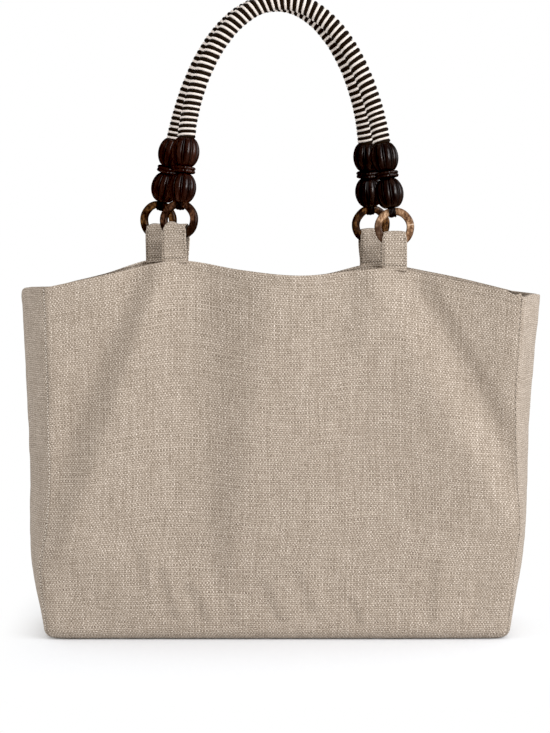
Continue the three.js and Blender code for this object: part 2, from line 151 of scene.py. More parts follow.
# Seams, hem and fine crumple
SEAM_SINK = 1.2
SEAM_SPREAD = 1.5
SEAM_SHADE_WIDTH = 0.7  # width of the painted shade along a seam, where the cloth is sunk
SEAM_PUCKER = 0.45
SEAM_UNEVEN = (0.25, 60.0)  # share of the sink, and over what length
SEAM_SEED = 5
GATHER_DEPTH = 0.35  # of the small waves beside a seam
GATHER_STITCHES = 4.2  # from wave to wave
GATHER_WANDER = (3.0, 45.0)  # radians, and over what length
GATHER_SEED = 8
GATHER_SPREAD = 9.0
STITCH_PITCH = 2.8
STITCH_LENGTH = 0.6 * STITCH_PITCH
STITCH_THICKNESS = 0.95
STITCH_PROUD = 0.25
STITCHED_UP_TO = 0.995  # share of a wall's height
HEADING_STEP = 0.3  # a stitch heads from this far behind its place to this far ahead
HEM_DEPTH = 8.5
HEM_LIFT = 0.45
HEM_SOFT = 1.2
HEM_GROOVE = (0.35, 1.6)  # depth and width of the line that the hem is sewn along
HEM_THINNING = (7.5, 10.5)  # below the rim, where the folded cloth goes over to single
SIDE_HEM_SHARE = 0.35
# painted shade along the fold under the base: how strong, then its height and spread
BASE_FOLD_SHADE = 0.2
BASE_FOLD_SHADE_PLACE = (0.6 * EDGE_ROUND, 0.4 * EDGE_ROUND)  # its height and its spread
CRUMPLE = 0.12  # height of the smallest dents in the cloth
PANEL_DENTS = ((26, 1.0), (11, 0.5))  # size of the dents, and how strong they are
SIDE_DENTS = ((34, 1.6), (12, 0.6))
SIDE_SEEDS = {-1: (40, 46), 1: (42, 48)}
RIM_ROUND = 0.9  # the folded edge of the cloth

# Weave of the linen, for the warp, up the cloth, and the weft, across it. A tone's pair is its factor and
# what is added to it.
WARP_PITCH = 1.39  # from thread to thread
WEFT_PITCH = 1.93
WARP_SWAY = 3.0  # in threads
WEFT_SWAY = 2.2
SWAY_SCALE = 26.0
THREAD_ROUND = 0.6  # power that gives a thread its rounded top
SLUB_STRIDES = (7.31, 5.77)  # from one thread's noise to the next one's
SLUB_STRETCH = (0.11, 0.08)
SLUB_HEIGHT = (0.7, 0.65)
SLUB_TONE = 0.55
CROSSING_TONE = (0.24, 0.88)
EVERY_OTHER_WARP = 0.05
RUN_STRIDES = (3.17, 2.93)
RUN_STRETCH = (0.022, 0.018)
RUN_TONES = (0.6, 0.65)
# painted shade in the gaps between the weft rows
ROW_GAP_SHADE = (-0.35, 1.05)
FIBRE_SCALE = 1050.0
FIBRE_STEP = 0.9
FIBRE_TONE = 1.25
LOOSE_SCALE = 70.0  # of the patches where the weave is less distinct
LOOSE_STRETCH = (1.0, 0.4, 1.0)
LOOSE_GAP_SHADE = (0.6, 0.42)
LOOSE_TOPS = (-0.4, 1.11)
WEAVE_HEIGHTS = (0.15, 0.55)  # the gaps' and the thread tops' height in the weave; the colour goes from painted shade in the gaps to the lighter tops
DARKEST = 0.05
RED_POWER = 0.92  # the weave's darker places, its painted shade in the gaps among them, are warmer than its tops
BLUE_POWER = 1.1
PATCH_TONE = (0.1, 0.95)
# how much the painted shade along the seams and the fold under the base darkens the linen
PAINTED_SHADE_TONE = (-0.34, 1.0)
WEAVE_DEPTH = 0.45

# Handles
ROPE_RADIUS = 8.3
HANDLE_HEIGHT = 240.0
RISE_PULL = 0.48
CROWN_PULL = 0.54
CORD_PITCH = 6.1  # one dark and one cream turn
CORD_PITCH_AT_BEADS = 5.2
CORD_SPREADING = (20.0, 60.0)  # from the beads, where the turns go over to the wider pitch
CORD_UNEVEN = (0.03, 9.0)  # share of a turn, and over what length
CORD_PLUMP = (0.08, 4.0)  # share of its thickness, and over what length
CORD_START = {"dark": 0.0, "cream": 0.5}  # in turns
CORD_SEEDS = {"dark": 3, "cream": 8}
PLUMP_SEED = 9
CORD_OUT = 1.28
CORD_SHARE = {"dark": 0.295, "cream": 0.222}  # half a cord's width, as a share of the pitch
CORD_SIDES = 8
CORD_POINTS_A_TURN = 24
CORE_RADIUS = ROPE_RADIUS - 1.6 * CORD_OUT
CORE_SIDES = 24
CORE_STEP = 4.0
ROPE_POINTS = 400  # along half a rope
HANDLES = {
    "front": {
        "facing": 1,
        "rim": "front",
        "crown_x": 0.6,
        "left": {"ring_x": -92.5, "foot_x": -4.0, "turn": -18.0, "lean": 5.0, "sit": 2.4},
        "right": {"ring_x": 103.0, "foot_x": 0.0, "turn": 0.0, "lean": 8.5},
    },
    "back": {
        "facing": -1,
        "rim": "back",
        "crown_x": -3.5,
        "left": {"ring_x": -114.0, "foot_x": -1.0, "turn": -22.0, "lean": 12.0},
        "right": {"ring_x": 84.0, "foot_x": 1.0, "turn": 14.0, "lean": 3.5, "sit": 1.0},
    },
}

# Rings and tabs
RING_OUTER = 18.0
RING_INNER = 11.2
RING_DEPTH = 6.0
RING_ROUND = 1.7
RING_SIDES = 96
RING_HEIGHT = 36.9  # from the rim
# Radians by which the wear of a ring and the sag of its strands start
END_START = {"front_left": 10, "front_right": 11, "back_left": 9, "back_right": 10}
RING_WEAR = ((3, 0.12), (7, 0.08))  # number of waves round it, and their height
# Widths of each tab at its foot and in its ring, and how far right of the ring's middle it sits there
TAB_SHAPES = {
    "front_left": (23.0, 21.5, -3.2),
    "front_right": (22.5, 20.5, 0.0),
    "back_left": (22.0, 20.0, -0.5),
    "back_right": (22.0, 20.5, 0.0),
}
TAB_FOLD_DROP = 5.1
TAB_FOLD_ROUND = 1.6
TAB_FOOT_SINK = 2.0  # the tab's foot goes this far down into the rim
TAB_SKEW = {"front_left": 1.1}  # how far right the tab's back half lies of its front
TAB_TWIST = {"back_left": 0.4}  # share of its ring's turn that the tab follows
# Share of the way from the handle's plane to the rim: this tab is sewn to the rim's inner side
TAB_FOOT_SHARE = {"back_left": 0.2}
TAB_SKEW_SPAN = (0.42, 0.62)  # share of the tab's length
TAB_NARROWS_OVER = 6.0  # below its fold
TAB_BUNCHES_FROM = 0.8  # share of the way from the ring's middle down to clear of the ring
TAB_CROWN_LIFT = 0.15
TAB_CRUMPLE = 0.16
TAB_DENT = 9.0
TAB_DENTS_ACROSS = 11.0  # from the tab's middle to its edge, for the run of the dents
TAB_SEEDS = {"front_left": 43, "front_right": 72, "back_left": 63, "back_right": 78}
TAB_EDGE_CLOSING = 0.55
TAB_EDGE = (0.8, 1.0)  # where the two halves close, from the tab's middle, 0, to its edge, 1
TAB_COLUMNS = 22
TAB_ROWS = 110
TAB_STITCHED_EDGE = 0.84
OTHER_FACE_SHARE = 0.98  # stitches face away from the other half of the tab, a little nearer its middle
TAB_EDGE_RUNS = ((0.045, 0.40), (0.60, 0.955))  # shares of the tab's length
TAB_FOOT_RUNS = (0.055, 0.945)
TAB_EDGE_PITCH = 3.4
TAB_FOOT_PITCH = 3.2
TAB_STITCH_LENGTH = 2.3
TAB_STITCH_THICKNESS = 0.7
# How the cloth bunches in each ring, across the tab from left, -1, to right, 1: (place, rise)
TAB_CROWNS = {
    "front_left": ((-1.0, -3.6), (-0.85, -0.4), (-0.55, 1.9), (-0.2, 2.2), (0.2, 0.3), (1.0, 0.0)),
    "front_right": ((-1.0, -0.8), (-0.6, 0.2), (0.1, 0.6), (0.7, 0.3), (1.0, -0.4)),
    "back_left": ((-1.0, -1.6), (-0.5, 0.5), (0.1, 0.4), (0.7, -0.2), (1.0, -0.6)),
    "back_right": ((-1.0, -0.5), (-0.4, 0.3), (0.3, 0.2), (0.8, -0.2), (1.0, -0.8)),
}

# What each ring is like: shades of its dark, middle and light marbling and of its stain, slot, the way
# the stain lies and, for one ring, the place of its joint, both in degrees
DARK_SHELL = (0x1C100B, 0x3A2218, 0x68442D, 0x22130C)
AMBER_SHELL = (0x1C0F08, 0x3C2415, 0x80572E, 0x150B06)
PALE_SHELL = (0x4A2F1D, 0x906C4E, 0xCEA987, 0x3A2820)
RING_LOOKS = {
    "front_left": (DARK_SHELL, "dark_ring", 20),
    "front_right": (PALE_SHELL, "pale_ring", -45, 10),
    "back_left": (AMBER_SHELL, "dark_ring", 0),
    "back_right": (AMBER_SHELL, "dark_ring", 10),
}

# Beads, collars and loops
BORE = 5.4
BORE_EDGE = (0.7, 0.6)  # width and height of the bevel at the bore's ends
LIP_SHARE = 0.1  # share of half a bead's height where its end rounds in
LIP_INSET = 0.54
UNCARVED = 1.2  # from the bore outwards
BEAD_LOBES = 10
BEAD_SIDES = 200
BEAD_ROWS = 28
LOBE_BULGE = 1.1
GROOVE_SHARE = 0.36  # share of a lobe's width that its groove takes
GROOVE_DEPTH = 1.9
GROOVE_ROUND = 0.8  # powers that shape a groove and its fading towards the bead's ends
GROOVE_FADE = 0.55
# width of the painted shade that darkens each groove of a bead
GROOVE_SHADE_LINE = GROOVE_SHARE / 7
LOBE_TURN = 0.37  # in lobes, from handle end to handle end
UPPER_TURN = 0.2
RIDGE_HEIGHT = 1.15  # of the thin ridge that stands in a groove
RIDGE_SHARE = 0.085
LOWER_BEAD = {"radius": 13.1, "height": 26.5, "end": 7.0}
UPPER_BEAD = {"radius": 13.2, "height": 25.6, "end": 8.0}
COLLAR = {"radius": 11.0, "waist": 9.4, "height": 6.2}
COLLAR_RIDGES = (0.27, 0.73)  # shares of its height
COLLAR_RIDGE_HALF = 0.24
COLLAR_RIDGE_ANGLES = (-80, -50, -20, 10, 40, 70)
COLLAR_UNCARVED = 1.0
COLLAR_SIDES = 176
COLLAR_SCALLOPS = 22
SCALLOP_DEPTH = 0.2
STACK_LOWER = RING_OUTER + GAP
STACK_COLLAR = STACK_LOWER + LOWER_BEAD["height"] + GAP
STACK_UPPER = STACK_COLLAR + COLLAR["height"] + GAP
STACK_TOP = STACK_UPPER + UPPER_BEAD["height"] + GAP
LOOP_STRANDS = 5
STRAND_RADIUS = 0.68
STRAND_SPACING = 1.28
STRAND_SIDES = 10
STRAND_POINTS = 49
STRAND_SAG = 0.22
STRAND_SAG_STEP = 2.1  # radians from strand to strand
STRAND_SAG_SPAN = (9, 16)  # heights over the ring's middle
STRAND_CLOSING = 0.12
STRAND_CLOSING_SPAN = (16, 24)
# A strand's way round the top of the ring, from the bead down its front: (out from the middle, up)
STRAND_WAY = ((1.3, 30.0), (1.6, 23.0), (2.9, 19.6), (3.85, 16.8), (3.9, 13.6), (3.1, 10.7), (0.0, 9.75))

# Camera, as the photo was taken, and the room, whose measures are in metres
CAMERA_PLACE = (-5.4, -2362.0, 440.0)
CAMERA_AIM = (-5.4, -62.0, 248.7)
CAMERA_LENS = 125.95
BLACK_POINT = 0.006
FLOOR_RADIUS = 1.3
FLOOR_DROP = 0.0002
FLOOR_SHADE = (0.852, 0.861, 0.878, 1)
FLOOR_EDGE = 0.9  # share of the base's half length where the floor starts to glow
FLOOR_BESIDE = 4.0  # it glows this much sooner beside the bag than before it
FLOOR_GLOW_FROM = 0.3  # before the bag
LIGHTS = {
    "key": {
        "place": (2.36, -1.1, 1.5),
        "aim": (0, 0, 0.2),
        "size": (1.8, 1.8),
        "power": 41.5,
        "shade": (0.97, 1.0, 1.045),
    },
    "strip": {
        "place": (1.7, -1.9, 0.95),
        "aim": (0, 0, 0.35),
        "size": (0.22, 0.5),
        "power": 15,
        "shade": (1.02, 1.0, 0.97),
    },
}


def columns_of(names, rows):
    """A short table as named columns."""
    return dict(zip(names.split(), np.array(rows, float).T))


def curve_through(places, values):
    """A smooth curve through a table's points, level with its chords at both ends."""
    chords = np.diff(values) / np.diff(places)
    slopes = np.concatenate([chords[:1], (chords[1:] + chords[:-1]) / 2, chords[-1:]])

    def read(place):
        place = np.clip(place, places[0], places[-1])
        i = np.clip(np.searchsorted(places, place, side="right") - 1, 0, len(places) - 2)
        run = places[i + 1] - places[i]
        t = (place - places[i]) / run
        start = (1 + 2 * t) * (1 - t) ** 2 * values[i] + t * (1 - t) ** 2 * run * slopes[i]
        return start + t**2 * (3 - 2 * t) * values[i + 1] - t**2 * (1 - t) * run * slopes[i + 1]

    return read


def table_curves(names, rows):
    """Each column of a table as a smooth curve along its first column."""
    table = columns_of(names, rows)
    along, *others = table
    return {name: curve_through(table[along], table[name]) for name in others}


section = table_curves(SECTION_NAMES, WALL_SECTIONS)
rims = {"front": table_curves(RIM_NAMES, FRONT_RIM), "back": table_curves(RIM_NAMES, BACK_RIM)}


def mix(a, b, t):
    return a + (b - a) * t


def ease(value, low, high):
    """From 0 at low to 1 at high, smoothly."""
    t = np.clip((value - low) / (high - low), 0, 1)
    return t * t * (3 - 2 * t)


def bell(distance, width):
    return np.exp(-((distance / width) ** 2))


def ripple(u, v, scale, seed, waves=9):
    """Even, repeatable unevenness between about -1 and 1, with dents about as large as scale."""
    draw = np.random.default_rng(seed)
    heading = draw.uniform(0, 2 * math.pi, waves)
    pitch = scale * draw.uniform(0.7, 1.6, waves)
    phase = draw.uniform(0, 2 * math.pi, waves)
    total = np.zeros_like(u, float)
    for turn, length, start in zip(heading, pitch, phase):
        total += np.sin(2 * math.pi * (u * math.cos(turn) + v * math.sin(turn)) / length + start)
    return total / math.sqrt(waves)


def crumple(u, v, dents, seeds):
    """Small dents of a few sizes."""
    return CRUMPLE * sum(share * ripple(u, v, size, seed) for (size, share), seed in zip(dents, seeds))


def unit(ways):
    return ways / np.linalg.norm(ways, axis=1)[:, None]


def line_run(line):
    """The length along a line up to each of its points."""
    steps = np.linalg.norm(np.diff(line, axis=0), axis=1)
    return np.concatenate([[0], np.cumsum(steps)])


def line_at(lengths, run, line):
    """The places at these lengths along a line."""
    return np.stack([np.interp(lengths, run, line[:, k]) for k in range(3)], axis=1)


def evenly(line, step):
    """A line's places at even steps, and the length up to each."""
    run = line_run(line)
    at = np.linspace(0, run[-1], int(round(run[-1] / step)) + 1)
    return line_at(at, run, line), at


def nearest_rows(up, count):
    """Which of this many points, evenly spaced from 0 to 1, lies nearest."""
    return np.clip(np.rint(up * (count - 1)).astype(int), 0, count - 1)


# Walls of the bag

def along_line(x, z, x0, z0, x1, z1):
    """How far a place lies right of a line seen from the front, and its share of the line's length."""
    run, fall = x1 - x0, z1 - z0
    length = math.hypot(run, fall)
    right = -((x - x0) * fall - (z - z0) * run) / length
    return right, ((x - x0) * run + (z - z0) * fall) / length**2


def fold_lift(folds, x, z):
    lift = np.zeros_like(x)
    for x0, z0, x1, z1, width, foot_width, depth, foot_depth, spread in folds:
        right, along = along_line(x, z, x0, z0, x1, z1)
        down = np.clip(along, 0, 1)
        half = mix(width, foot_width, down) / 2
        fade = ease(along, *FOLD_START) * (1 - ease(along, *FOLD_END)) * bell(right, spread)
        lift -= mix(depth, foot_depth, down) * (ease(right, -half, half) - 0.5) * fade
    return lift


def panel_point(across, share, side):
    """Places on the front or back panel: across, out from the middle plane, and up."""
    folds, seeds = PANEL_CLOTH[side]
    rim = rims[side]
    left, right = section["seam_left"](share), section["seam_right"](share)
    x = mix(left, right, (across + 1) / 2)
    rim_height = rim["height"](across)
    if side == "front":
        place, drop = PANEL_SCALLOP
        rim_height = rim_height - drop * bell(x - place, SCALLOP_SPREAD)
    z = mix(EDGE_ROUND, rim_height, share)
    into_corner = np.maximum(0, CORNER_ROUND * math.sqrt(0.5) - np.minimum(x - left, right - x))
    corner_turn = CORNER_ROUND - np.sqrt(CORNER_ROUND**2 - into_corner**2)
    at_seam = np.abs(across) ** SEAM_POWER
    pulled_in = share**PULL_POWER
    middle = mix(BASE_DEPTH, rim["depth"](across), pulled_in)
    belly = BELLY * (1 - across**2) * np.sin(math.pi * share**BELLY_POWER)
    out = mix(middle + belly - corner_turn * (1 - pulled_in), section["depth"](share), at_seam)
    out += (1 - np.abs(across) ** FOLD_SEAM_POWER) * fold_lift(folds, x, z)
    out += crumple(x, z, PANEL_DENTS, seeds)
    for edge, (swell, reach) in ((x - left, CORNER_SWELL["left"]), (right - x, CORNER_SWELL["right"])):
        out += swell * edge / reach * np.exp(1 - edge / reach)
    below_rim = (1 - share) * (rim_height - EDGE_ROUND)
    out += hem_lift(below_rim)
    return x, out, z


def hem_lift(below_rim):
    """The rim's fold stands a little proud, down to the line that it is sewn along."""
    band = 1 - ease(below_rim, HEM_DEPTH - HEM_SOFT, HEM_DEPTH + HEM_SOFT)
    groove, width = HEM_GROOVE
    return HEM_LIFT * band - groove * bell(below_rim - HEM_DEPTH, width)


def side_point(around, share, hand):
    """Places on a side panel, from the front seam, -1, to the back seam, 1."""
    name = "left" if hand < 0 else "right"
    seam, reach = section[f"seam_{name}"](share), section[f"side_{name}"](share)
    out = 1 - np.abs(around) ** section["power"](share)
    front, back = rims["front"]["height"](hand), rims["back"]["height"](hand)
    rim_height = mix(front, back, (around + 1) / 2) - (SIDE_RIM_DIP * (1 - around**2) if hand > 0 else 0)
    x = mix(seam, reach, out)
    radius = SIDE_RIM_ROUND[hand]
    past = np.maximum(0, radius - np.abs(reach - x))
    rim_height = rim_height - radius + np.sqrt(radius**2 - past**2)
    if hand > 0:
        place, drop = SIDE_SCALLOP
        rim_height -= drop * bell(x - place, SCALLOP_SPREAD) * (around < 0)
    y = around * section["depth"](share)
    z = mix(EDGE_ROUND, rim_height, share)
    soft = 1 - np.abs(around) ** SEAM_POWER
    dents = crumple(y, z, SIDE_DENTS, SIDE_SEEDS[hand])
    below_rim = (1 - share) * (rim_height - EDGE_ROUND)
    x += hand * (soft * dents + SIDE_HEM_SHARE * hem_lift(below_rim))
    return x, y, z


def front_line(part, share):
    x, out, z = panel_point(part, share, "front")
    return x, -out, z


def back_line(part, share):
    return panel_point(-part, share, "back")


def right_line(part, share):
    return side_point(part, share, 1)


def left_line(part, share):
    return side_point(-part, share, -1)


# Each wall runs anticlockwise seen from above, from one seam to the next.
WALLS = {
    "front": {"node": "front_panel", "line": front_line, "columns": PANEL_COLUMNS, "half": PANEL_HALF},
    "right": {"node": "side_panel_right", "line": right_line, "columns": SIDE_COLUMNS, "half": SIDE_HALF},
    "back": {"node": "back_panel", "line": back_line, "columns": PANEL_COLUMNS, "half": PANEL_HALF},
    "left": {"node": "side_panel_left", "line": left_line, "columns": SIDE_COLUMNS, "half": SIDE_HALF},
}
WALL_ORDER = list(WALLS)
# The way into the bag at the seam where each wall starts, seen from above
SEAM_INWARD = {"front": (1, 1), "right": (-1, 1), "back": (-1, -1), "left": (1, -1)}


def next_wall(wall):
    return WALL_ORDER[(WALL_ORDER.index(wall) + 1) % len(WALL_ORDER)]


def inward_at_base(wall, part):
    """The way into the bag along a wall's lowest level line: towards the middle of the base."""
    x, y, _ = WALLS[wall]["line"](part, 0 * part)
    middle, half = mix(*BASE_ENDS, 0.5), (BASE_ENDS[1] - BASE_ENDS[0]) / 2
    return np.array([(middle - x) / half, -y / BASE_DEPTH])


def seam_pinch(wall, part, share):
    """How far the seams draw a wall's cloth in, with a pucker at every second stitch and gathers beside."""
    height = share * WALL_HEIGHT
    pinch = np.zeros((2,) + part.shape)
    amount, length = SEAM_UNEVEN
    uneven = 1 + amount * ripple(height, 0 * height, length, SEAM_SEED)
    wander, reach = GATHER_WANDER
    waves = height / (GATHER_STITCHES * STITCH_PITCH)
    gathers = GATHER_DEPTH * np.cos(2 * math.pi * waves + wander * ripple(height, part, reach, GATHER_SEED))
    pucker = 1 + SEAM_PUCKER * np.cos(math.pi * height / STITCH_PITCH)
    for sign, seam in ((-1, wall), (1, next_wall(wall))):
        distance = (1 - sign * part) * WALLS[wall]["half"]
        at_seam = bell(distance, SEAM_SPREAD)
        inward = np.array(SEAM_INWARD[seam], float)[:, None] * math.sqrt(0.5)
        pinch += inward * SEAM_SINK * uneven * pucker * at_seam
        pinch += inward * gathers * np.exp(-distance / GATHER_SPREAD) * (1 - at_seam)
    return pinch


def wall_places(wall, part, up):
    """Places on a wall's outer face. up runs from under the base, 0, to the rim, 1."""
    turn = np.clip(up / TURN_SHARE, 0, 1) * math.pi / 2
    share = np.clip((up - TURN_SHARE) / (1 - TURN_SHARE), 0, 1)
    x, y, z = WALLS[wall]["line"](part, share)
    pinch = seam_pinch(wall, part, share)
    way = inward_at_base(wall, part)
    inset = EDGE_ROUND * (1 - np.sin(turn))
    places = np.stack([x + pinch[0] + way[0] * inset, y + pinch[1] + way[1] * inset, z], axis=1)
    places[:, 2] -= EDGE_ROUND * np.cos(turn)
    return places


# Meshes

def mesh_points(mesh):
    flat = np.empty(3 * len(mesh.vertices), np.float32)
    mesh.vertices.foreach_get("co", flat)
    return flat.reshape(-1, 3).astype(float)


def set_points(mesh, places):
    mesh.vertices.foreach_set("co", np.asarray(places, np.float32).ravel())
    mesh.update()


def smooth(mesh):
    mesh.polygons.foreach_set("use_smooth", np.ones(len(mesh.polygons), bool))


def finished(name, mesh, finish, slot, node=None):
    """A piece of the bag: shown, riding on it and, where a node is named, standing for that solid."""
    piece = bpy.data.objects.new(name, mesh)
    bpy.context.scene.collection.objects.link(piece)
    mesh.materials.append(finish)
    smooth(mesh)
    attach(piece, "root")
    if node:
        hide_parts(node)
    return piece


def mesh_of(bm, name):
    mesh = bpy.data.meshes.new(name)
    bm.to_mesh(mesh)
    bm.free()
    return mesh


def shaped_grid(name, columns, rows, shape):
    """A grid laid along a surface. shape takes (across, up), each from -1 and 0 to 1, and gives the
    places in millimetres with the lengths of thread across and along, which become the UV map."""
    bm = bmesh.new()
    bmesh.ops.create_grid(bm, x_segments=columns, y_segments=rows, size=1)
    mesh = mesh_of(bm, name)
    flat = mesh_points(mesh)
    places, threads = shape(flat[:, 0], (flat[:, 1] + 1) / 2)
    set_points(mesh, places * MM)
    corners = np.empty(len(mesh.loops), np.int32)
    mesh.loops.foreach_get("vertex_index", corners)
    layer = mesh.uv_layers.new(name="cloth")
    layer.data.foreach_set("uv", np.asarray(threads[corners] * MM, np.float32).ravel())
    return mesh


def add_painted_shade(mesh, depth):
    """Stores how much painted shade each vertex gets, from 0 to 1, for the piece's finish to darken it."""
    painted_shade = mesh.attributes.new("painted_shade", "FLOAT", "POINT")
    painted_shade.data.foreach_set("value", depth.astype(np.float32))


def closed_tube(mesh):
    """Welds a grid's two long edges where they meet and fills its ends."""
    bm = bmesh.new()
    bm.from_mesh(mesh)
    rim = [v for v in bm.verts if v.is_boundary]
    bmesh.ops.remove_doubles(bm, verts=rim, dist=1e-6)
    bmesh.ops.holes_fill(bm, edges=[e for e in bm.edges if e.is_boundary], sides=0)
    bmesh.ops.recalc_face_normals(bm, faces=bm.faces)
    bm.to_mesh(mesh)
    bm.free()
    return mesh


def thicken(piece, thickness, rounding, thin_share=1.0, thick_group=None):
    """Gives a sheet its thickness, inwards, and rounds its edges."""
    wall = piece.modifiers.new("cloth thickness", "SOLIDIFY")
    wall.thickness = thickness * MM
    wall.offset = -1
    if thick_group:
        wall.vertex_group = thick_group
        wall.thickness_vertex_group = thin_share
    edge = piece.modifiers.new("folded edge", "BEVEL")
    edge.width = rounding * MM
    edge.segments = 3
    edge.limit_method = "ANGLE"
    edge.angle_limit = math.radians(50)
    return piece


def crowd(across):
    """Closes evenly spaced columns up beside the two seams."""
    close, over = SEAM_COLUMNS
    from_seam = 1 - np.abs(across)
    return np.sign(across) * (1 - from_seam * (close + (1 - close) * (1 - np.exp(-from_seam / over))))


def wall_piece(wall, finish):
    facts = WALLS[wall]

    def shape(across, up):
        part = crowd(across)
        places = wall_places(wall, part, up)
        threads = np.stack([part * facts["half"], up * (WALL_HEIGHT + EDGE_ROUND * math.pi / 2)], axis=1)
        return places, threads

    mesh = shaped_grid(f"linen_{wall}", facts["columns"], WALL_ROWS, shape)
    add_painted_shade(mesh, wall_painted_shade(wall, mesh))
    piece = finished(f"linen_{wall}", mesh, finish, "linen", facts["node"])
    hem = piece.vertex_groups.new(name="hem")
    below_rim = wall_rim_heights(wall, mesh) - mesh_points(mesh)[:, 2] / MM
    folded = 1 - ease(below_rim, *HEM_THINNING)
    for i in np.flatnonzero(folded > 0):
        hem.add([int(i)], float(folded[i]), "REPLACE")
    return thicken(piece, HEM_CLOTH, RIM_ROUND, CLOTH / HEM_CLOTH, "hem")


def wall_painted_shade(wall, mesh):
    """How much painted shade each vertex of a wall gets, along a seam or along the fold under the base."""
    columns, half = WALLS[wall]["columns"] + 1, WALLS[wall]["half"]
    from_seam = (1 - np.abs(crowd(np.linspace(-1, 1, columns)))) * half
    in_seam = np.tile(bell(from_seam, SEAM_SHADE_WIDTH), len(mesh.vertices) // columns)
    height, spread = BASE_FOLD_SHADE_PLACE
    at_fold = BASE_FOLD_SHADE * bell(mesh_points(mesh)[:, 2] / MM - height, spread)
    return np.maximum(in_seam, at_fold)


def wall_rim_heights(wall, mesh):
    """The height of the rim over each of a wall's vertices."""
    columns = WALLS[wall]["columns"] + 1
    tops = mesh_points(mesh)[-columns:, 2] / MM
    return np.tile(tops, len(mesh.vertices) // columns)


def base_piece(finish):
    """The flat base between the turned-under edges of the walls."""

    def edge(wall, part):
        x, y, _ = WALLS[wall]["line"](part, 0 * part)
        way = inward_at_base(wall, part) * (EDGE_ROUND + GAP)
        return np.stack([x + way[0], y + way[1]], axis=1)

    def shape(across, up):
        u, v = (across + 1) / 2, up
        front, back = edge("front", across), edge("back", -across)
        left, right = edge("left", 1 - 2 * v), edge("right", 2 * v - 1)
        u, v = u[:, None], v[:, None]
        end = np.array([1.0])
        fl, fr = edge("front", -end), edge("front", end)
        bl, br = edge("back", end), edge("back", -end)
        flat = mix(front, back, v) + mix(left, right, u) - mix(mix(fl, fr, u), mix(bl, br, u), v)
        places = np.column_stack([flat, np.zeros(len(flat))])
        return places, flat

    mesh = shaped_grid("linen_base", *BASE_GRID, shape)
    mesh.flip_normals()
    piece = finished("linen_base", mesh, finish, "linen", "base_panel")
    return thicken(piece, CLOTH, CUT_ROUND)


def stitch_rows(name, rows, length, thickness, finish, slot):
    """Short stitches of thread as one mesh. rows holds (place, along, out) for every stitch."""
    bm = bmesh.new()
    bmesh.ops.create_uvsphere(bm, u_segments=8, v_segments=6, radius=0.5)
    stitch = mesh_of(bm, "stitch")
    round_shape = mesh_points(stitch) * (length, thickness, thickness)
    joined = bmesh.new()
    for place, along, out in rows:
        side = np.cross(out, along)
        set_points(stitch, (place + round_shape @ np.array([along, side, out])) * MM)
        joined.from_mesh(stitch)
    bpy.data.meshes.remove(stitch)
    return finished(name, mesh_of(joined, name), finish, slot)


def spaced_stitches(places, outs, pitch):
    """Stitches at an even pitch along a line of places, each with its heading and its way out."""
    run = line_run(places)
    at = np.arange(pitch / 2, run[-1], pitch)
    along = unit(line_at(at + HEADING_STEP, run, places) - line_at(at - HEADING_STEP, run, places))
    out = line_at(at, run, outs)
    out = unit(out - (out * along).sum(1)[:, None] * along)
    return list(zip(line_at(at, run, places), along, out))


def seam_stitches(name, walls, finish):
    """A row of small stitches down the upright seam where each of these walls starts."""
    rows = []
    for wall in walls:
        inward = SEAM_INWARD[wall]
        up = np.linspace(TURN_SHARE, STITCHED_UP_TO, 300)
        places = wall_places(wall, np.full_like(up, -1.0), up)
        out = np.tile([-inward[0], -inward[1], 0], (len(up), 1)) * math.sqrt(0.5)
        rows += spaced_stitches(places + STITCH_PROUD * out, out, STITCH_PITCH)
    return stitch_rows(name, rows, STITCH_LENGTH, STITCH_THICKNESS, finish, "linen")


# Handles: rope, beads, rings and tabs

def across_of(x):
    left, right = section["seam_left"](1.0), section["seam_right"](1.0)
    return 2 * (x - left) / (right - left) - 1


def rim_at_rings(handle):
    """How far out and how high the rim lies at a handle's two rings, on average."""
    rim = rims[handle["rim"]]
    ends = np.array([across_of(handle[side]["ring_x"]) for side in ("left", "right")])
    return float(rim["depth"](ends).mean()) - CLOTH / 2, float(rim["height"](ends).mean())


def handle_setting(handle):
    """The handle's own frame: on the rim, leaning inwards until the ropes meet at the crown."""
    depth, height = rim_at_rings(handle)
    lean = math.asin((depth - ROPE_RADIUS - GAP) / HANDLE_HEIGHT)
    place = Matrix.Translation((0, -handle["facing"] * depth, height))
    return place @ Matrix.Rotation(-handle["facing"] * lean, 4, "X"), height


def foot_depth(handle, facts):
    """How far the folded rim under a tab lies from the handle's own plane."""
    place = np.array([across_of(facts["ring_x"] + facts["foot_x"])])
    out = float(panel_point(place, np.array([1.0]), handle["rim"])[1][0]) - HEM_CLOTH / 2
    return handle["facing"] * (rim_at_rings(handle)[0] - out)


